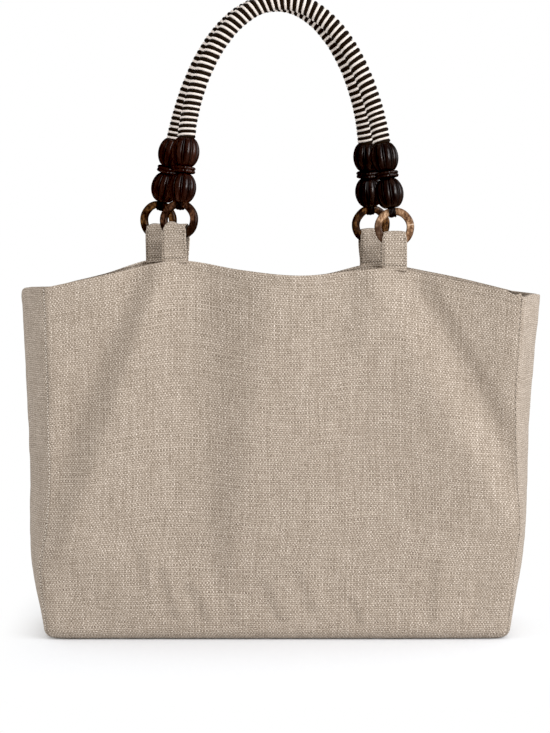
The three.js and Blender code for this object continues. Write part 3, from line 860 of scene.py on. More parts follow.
def end_setting(handle, side):
    """One end of a handle: where its ring is, how its beads lean and how its ring and tab are set."""
    facts = handle[side]
    setting, height = handle_setting(handle)
    rim = rims[handle["rim"]]

    def over_rim(x):
        return rim["height"](across_of(facts["ring_x"] + x)) - height

    ring_height = float(over_rim(facts["foot_x"])) + RING_HEIGHT
    towards_middle = 1 if side == "left" else -1
    turn = Matrix.Rotation(towards_middle * math.radians(facts["lean"]), 4, "Y")
    turn = turn @ Matrix.Rotation(math.radians(facts["turn"]), 4, "Z")
    facing = turn.to_3x3() @ Vector((0, 1, 0))
    across = Vector((facing.y, -facing.x, 0)).normalized()
    ring_turn = Matrix((across, facing, across.cross(facing))).transposed()
    place = Vector((facts["ring_x"], 0, ring_height))
    sit = facts.get("sit", 0)  # how far the beads sit down over the ring
    axis = turn.to_3x3() @ Vector((0, 0, 1))
    ring = setting @ Matrix.Translation(place)
    return {
        "ring": ring,
        "loop": ring @ turn,
        "stack": ring @ turn @ Matrix.Translation((0, 0, -sit)),
        "ring_turn": ring_turn,
        "foot": lambda x: over_rim(x) - ring_height,
        "foot_x": facts["foot_x"],
        "foot_y": foot_depth(handle, facts),
        "top": place + (STACK_TOP - sit) * axis,
        "axis": axis,
    }


def bezier(points, count):
    t = np.linspace(0, 1, count)[:, None]
    a, b, c, d = (np.array(p, float) for p in points)
    return (1 - t) ** 3 * a + 3 * (1 - t) ** 2 * t * b + 3 * (1 - t) * t**2 * c + t**3 * d


def rope_line(handle):
    """The middle of the rope, in the handle's frame, from the right beads over the crown to the left."""
    crown = Vector((handle["crown_x"], 0, HANDLE_HEIGHT))
    halves = []
    for side in ("right", "left"):
        end = end_setting(handle, side)
        top, axis = end["top"], end["axis"]
        leaving = top + axis * RISE_PULL * (crown.z - top.z)
        arriving = Vector((mix(crown.x, top.x, CROWN_PULL), 0, crown.z))
        halves.append(bezier((top - axis, leaving, arriving, crown), ROPE_POINTS))
    return np.concatenate([halves[0], halves[1][::-1][1:]])


def moved(matrix, places):
    return places @ np.array(matrix.to_3x3()).T + np.array(matrix.translation)


def rope_ways(line):
    """The way out from a rope's middle, in the handle's plane, and the way across that plane."""
    side = np.array([0.0, 1.0, 0.0])
    return np.cross(unit(np.gradient(line, axis=0)), side), side


def rope_core(name, handle, finish):
    line, at = evenly(rope_line(handle), CORE_STEP)
    out, side = rope_ways(line)

    def shape(across, up):
        i = nearest_rows(up, len(line))
        angle = (math.pi * across)[:, None]
        places = line[i] + CORE_RADIUS * (np.cos(angle) * out[i] + np.sin(angle) * side)
        return moved(handle_setting(handle)[0], places), np.stack([across, at[i]], axis=1)

    mesh = closed_tube(shaped_grid(f"rope_core_{name}", CORE_SIDES, len(line) - 1, shape))
    return finished(f"rope_core_{name}", mesh, finish, "wound_cord", f"handle_{name}")


def rope_cord(name, handle, shade, finish):
    """One of the two cords that bind the rope, wound side by side."""
    line, at = evenly(rope_line(handle), CORD_PITCH / CORD_POINTS_A_TURN)
    out, side = rope_ways(line)
    from_bead = np.minimum(at, at[-1] - at)
    pitch = mix(CORD_PITCH_AT_BEADS, CORD_PITCH, ease(from_bead, *CORD_SPREADING))
    turns = np.concatenate([[0], np.cumsum(np.diff(at) / pitch[1:])])
    amount, length = CORD_UNEVEN
    uneven = amount * ripple(at, 0 * at, length, CORD_SEEDS[shade])
    angle = 2 * math.pi * (CORD_START[shade] - turns - uneven)
    radial = np.cos(angle)[:, None] * out + np.sin(angle)[:, None] * side
    way = line + (ROPE_RADIUS - CORD_OUT) * radial
    beside = np.cross(unit(np.gradient(way, axis=0)), radial)
    thread = line_run(way)
    amount, length = CORD_PLUMP
    plump = 1 + amount * ripple(thread, 0 * thread, length, PLUMP_SEED)

    def shape(across, up):
        i = nearest_rows(up, len(way))
        turn = (math.pi * across)[:, None]
        half = CORD_SHARE[shade] * pitch[i][:, None]
        section_line = CORD_OUT * np.cos(turn) * radial[i] + half * np.sin(turn) * beside[i]
        places = moved(handle_setting(handle)[0], way[i] + plump[i][:, None] * section_line)
        return places, np.stack([across * math.pi * CORD_OUT, thread[i]], axis=1)

    label = f"rope_cord_{shade}_{name}"
    mesh = closed_tube(shaped_grid(label, CORD_SIDES, len(way) - 1, shape))
    return finished(label, mesh, finish, "wound_cord")


def turned_mesh(name, outline, sides, carve=None):
    """A closed outline of (radius, height) turned about the Z axis, then carved all round."""
    bm = bmesh.new()
    corners = [bm.verts.new((radius, 0, height)) for radius, height in outline]
    edges = [bm.edges.new((a, b)) for a, b in zip(corners, corners[1:] + corners[:1])]
    round_once = {"cent": (0, 0, 0), "axis": (0, 0, 1), "angle": 2 * math.pi, "steps": sides}
    bmesh.ops.spin(bm, geom=corners + edges, use_merge=True, **round_once)
    bmesh.ops.remove_doubles(bm, verts=bm.verts, dist=1e-4)
    bmesh.ops.recalc_face_normals(bm, faces=bm.faces)
    mesh = mesh_of(bm, name)
    if carve:
        places = mesh_points(mesh)
        reach = np.hypot(places[:, 0], places[:, 1])
        angle = np.arctan2(places[:, 1], places[:, 0])
        change = carve(reach, angle, places[:, 2]) / reach
        places[:, :2] *= 1 + change[:, None]
        set_points(mesh, places)
    return mesh


def placed(mesh, matrix):
    """Puts a mesh made in millimetres where it belongs, in metres."""
    set_points(mesh, moved(matrix, mesh_points(mesh)) * MM)
    return mesh


def bead_outline(radius, height, end):
    """From the bore's foot, over the swell, to the bore's top, with rounded rims at both ends."""
    rows = np.linspace(-1, 1, BEAD_ROWS + 1)
    swell = radius * np.sqrt(1 - rows**2 * (1 - (end / radius) ** 2))
    inset = LIP_INSET * np.maximum(0, np.abs(rows) - (1 - LIP_SHARE)) / LIP_SHARE
    wide, high = BORE_EDGE
    outline = [(BORE, high), (BORE + wide, 0.0)]
    outline += zip(swell - inset, height * (rows + 1) / 2)
    return outline + [(BORE + wide, height), (BORE, height - high)]


def from_groove(angle, start):
    """How far round a bead each angle lies from its nearest groove, in lobes."""
    turn = (angle / (2 * math.pi) * BEAD_LOBES + start) % 1
    return np.minimum(turn, 1 - turn)


def carved_bead(level, end, sizes, matrix, start, finish):
    name, height = f"bead_{level}_carved_{end}", sizes["height"]

    def carve(reach, angle, up):
        away = from_groove(angle, start)
        in_groove = away / (GROOVE_SHARE / 2)
        lobe = np.clip((away - GROOVE_SHARE / 2) / (0.5 - GROOVE_SHARE / 2), 0, 1)
        deep = np.sin(math.pi * np.clip(up / height, 0, 1)) ** GROOVE_FADE
        bulge = LOBE_BULGE * (np.sqrt(1 - (1 - lobe) ** 2) - 1)
        hollow = np.sin(math.pi * np.clip(in_groove, 0, 1)) ** GROOVE_ROUND
        groove = -LOBE_BULGE - (GROOVE_DEPTH - LOBE_BULGE) * hollow
        ridge = RIDGE_HEIGHT * bell(away, RIDGE_SHARE)
        change = np.where(in_groove < 1, groove + ridge, bulge)
        return np.where(reach > BORE + UNCARVED, change * deep, 0)

    mesh = turned_mesh(name, bead_outline(sizes["radius"], height, sizes["end"]), BEAD_SIDES, carve)
    places = mesh_points(mesh)
    away = from_groove(np.arctan2(places[:, 1], places[:, 0]), start)
    # painted shade along two lines in each groove
    add_painted_shade(mesh, bell(away - GROOVE_SHARE / 4, GROOVE_SHADE_LINE))
    return finished(name, placed(mesh, matrix), finish, "dark_wood", f"bead_{level}_{end}")


def carved_collar(end, matrix, finish):
    """Two rounded, scalloped ridges with a waist between them."""
    height, radius, waist = COLLAR["height"], COLLAR["radius"], COLLAR["waist"]
    outline = [(BORE, 0)]
    for middle in COLLAR_RIDGES:
        for angle in np.radians(COLLAR_RIDGE_ANGLES):
            up = height * (middle + COLLAR_RIDGE_HALF * math.sin(angle))
            outline.append((mix(waist, radius, math.cos(angle)), up))
    outline.append((BORE, height))

    def carve(reach, angle, up):
        upper = up > height / 2
        wave = np.cos(COLLAR_SCALLOPS * angle + np.where(upper, 0, math.pi))
        return np.where(reach > BORE + COLLAR_UNCARVED, SCALLOP_DEPTH * (wave - 1), 0)

    mesh = turned_mesh(f"collar_carved_{end}", outline, COLLAR_SIDES, carve)
    return finished(f"collar_carved_{end}", placed(mesh, matrix), finish, "dark_wood", f"collar_{end}")


def ring_band(end, setting, finish, slot):
    """A ring of rounded section, turned about the way it faces."""
    middle, half = (RING_OUTER + RING_INNER) / 2, (RING_OUTER - RING_INNER) / 2
    outline = []
    for quarter, (out, up) in enumerate(((1, 1), (-1, 1), (-1, -1), (1, -1))):
        for angle in np.radians(np.linspace(0, 90, 6) + 90 * quarter):
            reach = middle + out * (half - RING_ROUND) + RING_ROUND * math.cos(angle)
            height = up * (RING_DEPTH / 2 - RING_ROUND) + RING_ROUND * math.sin(angle)
            outline.append((reach, height))

    def wear(reach, angle, up):
        (waves, wide), (fine_waves, fine) = RING_WEAR
        return wide * np.sin(waves * angle + END_START[end]) + fine * np.sin(fine_waves * angle)

    mesh = turned_mesh(f"ring_band_{end}", outline, RING_SIDES, wear)
    facing = Matrix.Rotation(math.pi / 2, 4, "X")
    matrix = setting["ring"] @ setting["ring_turn"].to_4x4() @ facing
    return finished(f"ring_band_{end}", placed(mesh, matrix), finish, slot, f"ring_{end}")


def loop_strands(end, setting, finish):
    """The dark strands that tie the lowest bead to the top of the ring."""
    half = np.array(STRAND_WAY, float)
    way = np.concatenate([half * (-1, 1), half[-2::-1]])
    places = np.column_stack([np.zeros(len(way)), way])
    knots = np.linspace(0, 1, len(places))
    fine = np.linspace(0, 1, STRAND_POINTS)
    line = np.stack([curve_through(knots, places[:, k])(fine) for k in range(3)], axis=1)
    side = np.array([1.0, 0.0, 0.0])
    out = np.cross(unit(np.gradient(line, axis=0)), side)
    joined = bmesh.new()
    for k in range(LOOP_STRANDS):
        offset = (k - (LOOP_STRANDS - 1) / 2) * STRAND_SPACING
        sag = STRAND_SAG * math.sin(STRAND_SAG_STEP * k + END_START[end])

        def shape(across, up):
            i = nearest_rows(up, len(line))
            turn = (math.pi * across)[:, None]
            places = line[i] + STRAND_RADIUS * (np.cos(turn) * out[i] + np.sin(turn) * side)
            places[:, 0] += offset * (1 - STRAND_CLOSING * ease(places[:, 2], *STRAND_CLOSING_SPAN))
            places[:, 2] -= sag * (1 - ease(places[:, 2], *STRAND_SAG_SPAN))
            return places / MM, np.stack([across, 10 * up], axis=1)

        strand = closed_tube(shaped_grid("strand", STRAND_SIDES, len(line) - 1, shape))
        joined.from_mesh(strand)
        bpy.data.meshes.remove(strand)
    mesh = placed(mesh_of(joined, f"loop_strands_{end}"), setting["loop"])
    return finished(f"loop_strands_{end}", mesh, finish, "loop_cord", f"loop_{end}")


def tab_run():
    """The front half of a tab's run, from its foot to the crown of its fold: how far out from the tab's
    middle, how far up from the ring's middle, and the share of the way still to go down to the foot."""
    open_half = RING_DEPTH / 2 + GAP + TAB_CLOTH
    closed_half = GAP / 2 + TAB_CLOTH
    clear_of_ring = -RING_OUTER - 2 * GAP
    leg = np.linspace(0, 1, 14)
    legs = np.stack([mix(closed_half, open_half, leg), clear_of_ring + 0 * leg, 1 - leg], axis=1)
    angle = np.radians(np.linspace(0, 90, 9))
    round_outside = TAB_FOLD_ROUND + TAB_CLOTH
    fold_y = open_half - round_outside + round_outside * np.cos(angle)
    fold_z = -TAB_FOLD_DROP - TAB_FOLD_ROUND + round_outside * np.sin(angle)
    fold = np.stack([fold_y, fold_z, 0 * angle], axis=1)
    crown = np.array([[0.0, -TAB_FOLD_DROP + TAB_CLOTH + TAB_CROWN_LIFT, 0.0]])
    return np.concatenate([legs, fold, crown]), clear_of_ring


def tab_places(end, setting, across, up):
    """Places on a tab's outer face, and the thread lengths across and along it."""
    half, clear_of_ring = tab_run()
    run = np.concatenate([half * (-1, 1, 1), half[-2::-1]])
    foot_width, fold_width, fold_shift = TAB_SHAPES[end]
    foot_height = setting["foot"](setting["foot_x"] + across * foot_width / 2) - TAB_FOOT_SINK
    middle_foot = float(setting["foot"](setting["foot_x"]))
    heights = run[:, 1] + run[:, 2] * (middle_foot - clear_of_ring)
    length = line_run(np.stack([run[:, 0], heights], axis=1))
    at = up * length[-1]
    y = np.interp(at, length, run[:, 0])
    low = np.interp(at, length, run[:, 2])
    z = np.interp(at, length, run[:, 1]) + low * (foot_height - clear_of_ring)
    in_fold = ease(z, -TAB_FOLD_DROP - TAB_NARROWS_OVER, -TAB_FOLD_DROP)
    crown = columns_of("place rise", TAB_CROWNS[end])
    rise = curve_through(crown["place"], crown["rise"])(across)
    z = z + rise * ease(z, clear_of_ring * TAB_BUNCHES_FROM, -TAB_FOLD_DROP)
    width = mix(foot_width, fold_width, in_fold)
    dents = ripple(across * TAB_DENTS_ACROSS, z, TAB_DENT, TAB_SEEDS[end])
    y = y + TAB_CRUMPLE * dents * np.sign(y)
    y = y - TAB_EDGE_CLOSING * np.sign(y) * ease(np.abs(across), *TAB_EDGE)
    x = across * width / 2 + TAB_SKEW.get(end, 0) * ease(up, *TAB_SKEW_SPAN)
    risen = ease(z, middle_foot, clear_of_ring)
    axis, angle = setting["ring_turn"].to_quaternion().to_axis_angle()
    turn = angle * risen * TAB_TWIST.get(end, 1)
    flat = np.stack([x, y, z], axis=1)
    spin = np.array(axis)
    cos, sin = np.cos(turn)[:, None], np.sin(turn)[:, None]
    places = flat * cos + np.cross(spin, flat) * sin + spin * (flat @ spin)[:, None] * (1 - cos)
    places[:, 0] += mix(setting["foot_x"], fold_shift, risen)
    places[:, 1] += TAB_FOOT_SHARE.get(end, 1) * setting["foot_y"] * (1 - risen)
    return moved(setting["ring"], places), np.stack([x, at], axis=1)


def tab_cloth(end, setting, finish):
    def shape(across, up):
        return tab_places(end, setting, across, up)

    mesh = shaped_grid(f"tab_cloth_{end}", TAB_COLUMNS, TAB_ROWS, shape)
    piece = finished(f"tab_cloth_{end}", mesh, finish, "linen", f"tab_{end}")
    return thicken(piece, TAB_CLOTH, CUT_ROUND)


def tab_stitches(end, setting, finish):
    """Stitches down both edges of a tab and across its foot, on its two faces."""
    rows = []

    def add(across, up, pitch):
        places, _ = tab_places(end, setting, across, up)
        other_face, _ = tab_places(end, setting, across * OTHER_FACE_SHARE, 1 - up)
        rows.extend(spaced_stitches(places, places - other_face, pitch))

    for run in TAB_EDGE_RUNS:
        up = np.linspace(*run, 60)
        for edge in (-TAB_STITCHED_EDGE, TAB_STITCHED_EDGE):
            add(np.full_like(up, edge), up, TAB_EDGE_PITCH)
    for foot in TAB_FOOT_RUNS:
        across = np.linspace(-TAB_STITCHED_EDGE, TAB_STITCHED_EDGE, 40)
        add(across, np.full_like(across, foot), TAB_FOOT_PITCH)
    sizes = (TAB_STITCH_LENGTH, TAB_STITCH_THICKNESS)
    return stitch_rows(f"tab_stitches_{end}", rows, *sizes, finish, "linen")


# Finishes

def colour(hex_code):
    """A colour as it is seen, 0xRRGGBB, as the linear values that a shader takes."""
    parts = [(hex_code >> shift & 255) / 255 for shift in (16, 8, 0)]
    return (*(p / 12.92 if p <= 0.04045 else ((p + 0.055) / 1.055) ** 2.4 for p in parts), 1.0)


class Finish:
    """A material whose nodes are added by short calls."""

    def __init__(self, name, **shader):
        self.material = bpy.data.materials.new(name)
        self.material.use_nodes = True
        self.tree = self.material.node_tree
        self.shader = next(n for n in self.tree.nodes if n.type == "BSDF_PRINCIPLED")
        self.surface(**shader)

    def set(self, node, values):
        named = {socket.name.lower().replace(" ", "_"): socket for socket in reversed(node.inputs)}
        for name, value in values.items():
            socket = named[name] if isinstance(name, str) else node.inputs[name]
            if isinstance(value, bpy.types.NodeSocket):
                self.tree.links.new(value, socket)
            else:
                socket.default_value = value

    def node(self, kind, inputs=None, **settings):
        made = self.tree.nodes.new("ShaderNode" + kind)
        for name, value in settings.items():
            setattr(made, name, value)
        self.set(made, inputs or {})
        return made

    def calc(self, operation, *values):
        return self.node("Math", dict(enumerate(values)), operation=operation).outputs[0]

    def times(self, a, b):
        return self.calc("MULTIPLY", a, b)

    def scaled(self, value, factor, added):
        return self.calc("MULTIPLY_ADD", value, factor, added)

    def vector(self, x, y, z=0.0):
        return self.node("CombineXYZ", {0: x, 1: y, 2: z}).outputs[0]

    def noise(self, vector, scale, detail=2.0, roughness=0.5):
        inputs = {"vector": vector, "scale": scale, "detail": detail, "roughness": roughness}
        return self.node("TexNoise", inputs).outputs["Fac"]

    def parts(self, vector):
        return self.node("SeparateXYZ", {0: vector}).outputs

    def mapped(self, vector, **change):
        return self.node("Mapping", {"vector": vector, **change}).outputs[0]

    def ranged(self, value, low, high, interpolation_type="LINEAR", **more):
        """From 0 where the value is low to 1 where it is high, or between other ends."""
        inputs = {"value": value, "from_min": low, "from_max": high, **more}
        return self.node("MapRange", inputs, interpolation_type=interpolation_type).outputs[0]

    def ramp(self, value, *stops):
        made = self.node("ValToRGB", {0: value})
        points = made.color_ramp.elements
        while len(points) < len(stops):
            points.new(0.5)
        for point, (place, shade) in zip(points, stops):
            point.position = place
            point.color = shade
        return made.outputs["Color"]

    def blend(self, amount, a, b, kind="MIX"):
        made = self.node("Mix", {0: amount, 6: a, 7: b}, data_type="RGBA", blend_type=kind)
        return made.outputs[2]

    def bump(self, height, distance, strength=1.0):
        made = self.node("Bump", {"height": height, "distance": distance, "strength": strength})
        self.surface(normal=made.outputs[0])

    def surface(self, **values):
        self.set(self.shader, values)

    def object_place(self):
        return self.node("TexCoord").outputs["Object"]

    def threads(self):
        return self.node("UVMap", uv_map="cloth").outputs[0]

    def painted_shade(self):
        # how much painted shade each vertex was given
        return self.node("Attribute", attribute_name="painted_shade").outputs["Fac"]


def linen_finish(name, warp, weft):
    """Undyed linen in a coarse plain weave that follows the cloth's own threads, with painted shade in the
    weave's gaps, along its seams and along the fold under the base.
    """
    made = Finish(name, roughness=0.95, specular_ior_level=0.1, sheen_weight=0.08, sheen_roughness=0.5)
    calc, times, scaled = made.calc, made.times, made.scaled
    threads = made.threads()
    lengths = made.parts(threads)
    sway = made.node("TexNoise", {"vector": threads, "scale": SWAY_SCALE, "detail": 3.0}).outputs["Color"]
    sway = made.parts(sway)
    across = scaled(lengths[0], 1 / (WARP_PITCH * MM), times(sway[0], WARP_SWAY))
    along = scaled(lengths[1], 1 / (WEFT_PITCH * MM), times(sway[1], WEFT_SWAY))
    warp_number, weft_number = calc("FLOOR", across), calc("FLOOR", along)
    warp_place = made.vector(times(warp_number, SLUB_STRIDES[0]), times(along, SLUB_STRETCH[0]))
    weft_place = made.vector(times(across, SLUB_STRETCH[1]), times(weft_number, SLUB_STRIDES[1]), 9.0)
    warp_slub = made.noise(warp_place, 1.0, 2.0, 0.6)
    weft_slub = made.noise(weft_place, 1.0, 2.0, 0.6)
    crossing = made.vector(warp_number, weft_number)
    crossing = made.node("TexWhiteNoise", {"vector": crossing}).outputs["Value"]
    warp_wave, weft_wave = calc("SINE", times(across, math.pi)), calc("SINE", times(along, math.pi))
    warp_across, weft_across = calc("ABSOLUTE", warp_wave), calc("ABSOLUTE", weft_wave)
    over = calc("SIGN", times(warp_wave, weft_wave))

    def thread_height(wave, lift, slub):
        top = times(calc("POWER", wave, THREAD_ROUND), lift)
        return times(top, scaled(slub, *SLUB_HEIGHT))

    warp_height = thread_height(warp_across, scaled(times(over, weft_across), 0.5, 0.5), warp_slub)
    weft_height = thread_height(weft_across, scaled(times(over, warp_across), -0.5, 0.5), weft_slub)
    height = calc("MAXIMUM", warp_height, weft_height)
    warp_on_top = calc("GREATER_THAN", warp_height, weft_height)
    thread = made.blend(warp_on_top, colour(weft), colour(warp))
    slub = made.blend(warp_on_top, weft_slub, warp_slub)
    tone = scaled(calc("SUBTRACT", slub, 0.5), SLUB_TONE, scaled(crossing, *CROSSING_TONE))
    tone = scaled(calc("SIGN", warp_wave), EVERY_OTHER_WARP, tone)

    def warp_run(skip):
        number = times(calc("ADD", warp_number, skip), RUN_STRIDES[0])
        return made.noise(made.vector(number, times(along, RUN_STRETCH[0]), 4.0), 1.0)

    def weft_run(skip):
        number = times(calc("ADD", weft_number, skip), RUN_STRIDES[1])
        return made.noise(made.vector(times(across, RUN_STRETCH[1]), number, 6.0), 1.0)

    def apart(run, step):
        """How far a thread's own shade lies from that of the threads near it."""
        return scaled(calc("ADD", run(-step), run(step)), -0.5, run(0))

    warp_apart = times(apart(warp_run, 2), RUN_TONES[0])
    weft_apart = times(apart(weft_run, 1), RUN_TONES[1])
    tone = calc("ADD", made.blend(warp_on_top, weft_apart, warp_apart), tone)
    # painted shade in the gaps between the weft rows
    row_gap_shade = calc("POWER", calc("SUBTRACT", 1.0, weft_across), 2.0)
    tone = times(scaled(row_gap_shade, *ROW_GAP_SHADE), tone)

    def fibre_noise(*step):
        stepped = made.node("VectorMath", {0: threads, 1: step}, operation="ADD").outputs[0]
        return made.noise(stepped, FIBRE_SCALE, 0.0)

    nearby = calc("ADD", fibre_noise(FIBRE_STEP * MM, 0, 0), fibre_noise(0, FIBRE_STEP * MM, 0))
    fibres = scaled(nearby, -0.5, made.noise(threads, FIBRE_SCALE, 0.0))
    tone = scaled(fibres, FIBRE_TONE, tone)
    loose = made.noise(made.mapped(threads, scale=LOOSE_STRETCH), LOOSE_SCALE, 2.0)
    loose = calc("SUBTRACT", loose, 0.5)
    # painted shade: the weave's gaps are darkened and its thread tops lightened, less so in the loose
    # patches
    gaps, tops = scaled(loose, *LOOSE_GAP_SHADE), scaled(loose, *LOOSE_TOPS)
    shade = times(tone, made.ranged(height, *WEAVE_HEIGHTS, to_min=gaps, to_max=tops))
    shade = calc("MAXIMUM", shade, DARKEST)
    shade = made.vector(calc("POWER", shade, RED_POWER), shade, calc("POWER", shade, BLUE_POWER))
    patches_and_shade = scaled(made.noise(made.object_place(), 9.0, 3.0), *PATCH_TONE)
    # painted shade along the seams and the fold under the base
    patches_and_shade = times(patches_and_shade, scaled(made.painted_shade(), *PAINTED_SHADE_TONE))
    shade = made.node("VectorMath", {0: shade, "scale": patches_and_shade}, operation="SCALE").outputs[0]
    made.surface(base_color=made.blend(1.0, thread, shade, "MULTIPLY"))
    made.bump(height, WEAVE_DEPTH * MM, 0.8)
    return made.material


def thread_finish(name, shade, uneven=0x0C0B0A):
    """Sewing thread with a fine twist."""
    made = Finish(name, roughness=0.8, sheen_weight=0.1)
    twist = made.noise(made.object_place(), 1500.0, 2.0)
    strands = made.ramp(twist, (0.3, colour(shade - uneven)), (0.7, colour(shade + uneven)))
    made.surface(base_color=strands)
    made.bump(twist, 0.1 * MM, 0.5)
    return made.material


def cord_finish(name, dark, light):
    """Twisted cotton cord: its plies slant across the cord as they wind along it."""
    made = Finish(name, roughness=0.9, sheen_weight=0.04, sheen_roughness=0.4, specular_ior_level=0.12)
    calc, times = made.calc, made.times
    around, along, _ = made.parts(made.threads())
    slant = calc("ADD", times(around, 750.0), times(along, 520.0))
    plies = calc("ABSOLUTE", calc("SINE", times(slant, math.pi)))
    fibres = made.noise(made.object_place(), 1400.0, 3.0, 0.6)
    uneven = made.noise(made.object_place(), 260.0, 2.0)
    tone = calc("ADD", times(plies, 0.45), times(fibres, 0.35))
    tone = calc("ADD", tone, times(uneven, 0.3))
    made.surface(base_color=made.ramp(tone, (0.2, colour(dark)), (0.85, colour(light))))
    made.bump(calc("ADD", plies, times(fibres, 0.5)), 0.25 * MM, 0.8)
    return made.material


def carved_wood_finish(name, dark, middle, light):
    """Dark stained wood, satin polished, with its grain running up the bead and painted shade in its
    grooves.
    """
    made = Finish(name, specular_ior_level=0.4)
    grain_place = made.mapped(made.object_place(), scale=(1.0, 1.0, 0.12))
    grain = made.noise(grain_place, 900.0, 4.0, 0.65)
    streaks = made.noise(grain_place, 190.0, 3.0, 0.6)
    tone = made.calc("ADD", made.times(grain, 0.4), made.times(streaks, 0.6))
    wood = made.ramp(tone, (0.32, colour(dark)), (0.52, colour(middle)), (0.72, colour(light)))
    # painted shade: the grooves are darkened almost to black, and made rougher
    painted_shade = made.painted_shade()
    made.surface(
        base_color=made.blend(made.times(painted_shade, 0.8), wood, colour(0x040302)),
        roughness=made.scaled(painted_shade, 0.4, made.scaled(grain, 0.14, 0.18)),
    )
    made.bump(grain, 0.08 * MM, 0.6)
    return made.material


def shell_finish(name, setting, shades, stain_turn, joint=None):
    """Polished shell-like band, marbled and veined, darker along its edges, with a stain on one side of
    the ring and, at an angle up from its right, a fine pale joint."""
    made = Finish(name, specular_ior_level=0.25)
    calc, times = made.calc, made.times
    dark, middle, light, stain = (colour(shade) for shade in shades)
    place = made.mapped(made.object_place(), location=[-c * MM for c in setting["ring"].translation])
    clouds = made.noise(place, 130.0, 3.0, 0.6)
    streaks = made.noise(made.mapped(place, scale=(1.0, 1.0, 0.5)), 520.0, 4.0, 0.75)
    specks = made.noise(place, 1300.0, 2.0, 0.5)
    tone = calc("ADD", times(clouds, 0.5), times(streaks, 0.5))
    shade = made.ramp(tone, (0.41, dark), (0.5, middle), (0.58, light))
    turned = made.mapped(place, rotation=(0, math.radians(stain_turn), 0))
    height = times(made.parts(turned)[2], 1 / (RING_OUTER * MM))
    height = made.scaled(calc("SUBTRACT", clouds, 0.5), 1.2, height)
    shade = made.blend(times(made.ranged(height, -0.1, -0.6), 0.85), shade, stain)
    vein = calc("ABSOLUTE", calc("SUBTRACT", made.noise(place, 210.0, 4.0, 0.6), 0.5))
    shade = made.blend(times(made.ranged(vein, 0.03, 0.0), 0.55), shade, dark)
    reach = made.node("VectorMath", {0: place}, operation="LENGTH").outputs["Value"]
    middle_reach, half = (RING_OUTER + RING_INNER) / 2 * MM, (RING_OUTER - RING_INNER) / 2 * MM
    from_middle = calc("DIVIDE", calc("ABSOLUTE", calc("SUBTRACT", reach, middle_reach)), half)
    shade = made.blend(times(made.ranged(from_middle, 0.55, 1.0), 0.75), shade, dark)
    if joint is not None:
        swung = made.parts(made.mapped(place, rotation=(0, math.radians(joint), 0)))
        line = made.ranged(calc("ABSOLUTE", swung[2]), 0.6 * MM, 0.2 * MM)
        outer = made.ranged(reach, middle_reach - 0.4 * half, middle_reach + 0.2 * half)
        line = times(line, times(outer, calc("GREATER_THAN", swung[0], 0.0)))
        shade = made.blend(times(line, 0.5), shade, colour(0xF0DCC6))
    made.surface(base_color=shade, roughness=made.scaled(specks, 0.2, 0.22))
    made.bump(streaks, 0.12 * MM, 0.5)
    return made.material


def strand_finish(name, dark, light):
    """Near-black waxed strands with a soft shine."""
    made = Finish(name, roughness=0.38, specular_ior_level=0.2)
    fibres = made.noise(made.object_place(), 900.0, 3.0)
    made.surface(base_color=made.ramp(fibres, (0.3, colour(dark)), (0.75, colour(light))))
    made.bump(fibres, 0.1 * MM, 0.6)
    return made.material


def floor_finish():
    """A pale floor that takes the lamps' light and the bag's shadows close to the bag, and away from it
    glows as bright as the room: painted light that takes out the shadows there.
    """
    made = Finish("white_floor", roughness=0.9, specular_ior_level=0.0, emission_color=(1, 1, 1, 1))
    calc, times = made.calc, made.times
    place = made.parts(made.object_place())

    def past(way, edge):
        return calc("MAXIMUM", calc("SUBTRACT", calc("ABSOLUTE", way), edge * MM), 0.0)

    beside = times(past(place[0], FLOOR_EDGE * BASE_ENDS[1]), FLOOR_BESIDE)
    before = past(place[1], BASE_DEPTH)
    away = calc("SQRT", calc("ADD", times(beside, beside), times(before, before)))
    # painted light: away from the bag the floor glows and takes out the shadows that fall there
    glow = made.ranged(away, 0.0, FLOOR_GLOW_FROM, "SMOOTHSTEP")
    made.surface(base_color=made.blend(glow, FLOOR_SHADE, (0, 0, 0, 1)), emission_strength=glow)
    return made.material


# Building

def set_camera():
    lens = bpy.data.cameras.new("camera")
    lens.lens = CAMERA_LENS
    lens.sensor_width = 36
    lens.clip_end = 500
    camera = bpy.data.objects.new("camera", lens)
    place, aim = Vector(CAMERA_PLACE) * MM, Vector(CAMERA_AIM) * MM
    camera.location = place
    camera.rotation_euler = (aim - place).to_track_quat("-Z", "Y").to_euler()
    bpy.context.scene.collection.objects.link(camera)
    bpy.context.scene.camera = camera


def soft_light(name, place, aim, size, power, shade):
    lamp = bpy.data.lights.new(name, "AREA")
    lamp.shape = "RECTANGLE"
    lamp.size, lamp.size_y = size
    lamp.energy = power
    lamp.color = shade
    light = bpy.data.objects.new(name, lamp)
    light.location = place
    light.rotation_euler = (Vector(aim) - Vector(place)).to_track_quat("-Z", "Y").to_euler()
    bpy.context.scene.collection.objects.link(light)


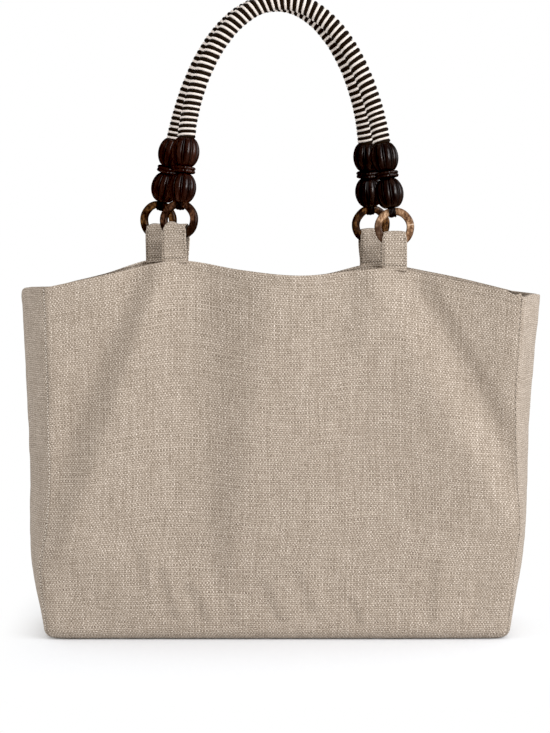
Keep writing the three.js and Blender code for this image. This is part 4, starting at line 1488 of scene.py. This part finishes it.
def set_studio():
    """A pale floor that glows away from the bag, and soft light, strongest from the right of the camera."""
    bm = bmesh.new()
    bmesh.ops.create_circle(bm, cap_ends=True, segments=64, radius=FLOOR_RADIUS)
    floor = bpy.data.objects.new("floor", mesh_of(bm, "floor"))
    floor.location.z = -FLOOR_DROP
    floor.data.materials.append(floor_finish())
    bpy.context.scene.collection.objects.link(floor)
    floor.visible_glossy = False
    world = bpy.data.worlds.new("white_room")
    world.use_nodes = True
    sky = next(n for n in world.node_tree.nodes if n.type == "BACKGROUND")
    sky.inputs["Color"].default_value = (1, 1, 1, 1)
    sky.inputs["Strength"].default_value = 1.0
    bpy.context.scene.world = world
    world.cycles_visibility.glossy = False  # polished pieces mirror the lights alone
    for name, facts in LIGHTS.items():
        soft_light(name, **facts)
    picture = bpy.context.scene.view_settings
    picture.view_transform = "Standard"
    picture.use_curve_mapping = True
    picture.curve_mapping.black_level = (BLACK_POINT,) * 3
    picture.curve_mapping.update()


def build_bag():
    linen = linen_finish("linen", warp=0xB4A698, weft=0x998B7C)
    # the left seam lies in shade, so its thread is painted paler than the same thread on the right: painted
    # light
    pale, matching = thread_finish("pale_thread", 0xDDD2C5), thread_finish("seam_thread", 0xB5A798)
    sewing = {"left": pale, "right": matching}
    starts = {"left": ("front", "left"), "right": ("right", "back")}
    walls = {wall: wall_piece(wall, linen) for wall in WALLS}
    base = base_piece(linen)
    stitches = [seam_stitches(f"seam_stitches_{side}", starts[side], sewing[side]) for side in starts]
    return linen


def ring_finish(end, setting):
    shades, slot, *turns = RING_LOOKS[end]
    return shell_finish(f"shell_{end}", setting, shades, *turns), slot


def raised(setting, height):
    """A place on the axis of the beads, over the ring's middle."""
    return setting["stack"] @ Matrix.Translation((0, 0, height))


def build_handles(linen):
    sewing = thread_finish("tab_thread", 0x5E5347)
    woods = {
        "left": carved_wood_finish("carved_wood", 0x180C09, 0x2C1813, 0x4C2C20),
        "right": carved_wood_finish("carved_wood_black", 0x100A08, 0x1F1411, 0x34231D),
    }
    strands = strand_finish("waxed_strands", 0x0A0605, 0x201511)
    cords = {
        "dark": cord_finish("dark_cord", 0x0B0704, 0x261A11),
        "cream": cord_finish("cream_cord", 0xC4B5AA, 0xFCF2EA),
    }
    settings = {
        f"{name}_{side}": end_setting(handle, side)
        for name, handle in HANDLES.items()
        for side in ("left", "right")
    }
    for k, (end, setting) in enumerate(settings.items()):
        wood = woods[end.split("_")[1]]
        tab = tab_cloth(end, setting, linen)
        stitches = tab_stitches(end, setting, sewing)
        ring = ring_band(end, setting, *ring_finish(end, setting))
        loop_strands(end, setting, strands)
        turn = LOBE_TURN * k
        carved_bead("lower", end, LOWER_BEAD, raised(setting, STACK_LOWER), turn, wood)
        carved_collar(end, raised(setting, STACK_COLLAR), wood)
        carved_bead("upper", end, UPPER_BEAD, raised(setting, STACK_UPPER), turn + UPPER_TURN, wood)
    for name, handle in HANDLES.items():
        rope_core(name, handle, cords["dark"])
        for shade, finish in cords.items():
            rope_cord(name, handle, shade, finish)


set_camera()
set_studio()
linen = build_bag()
build_handles(linen)
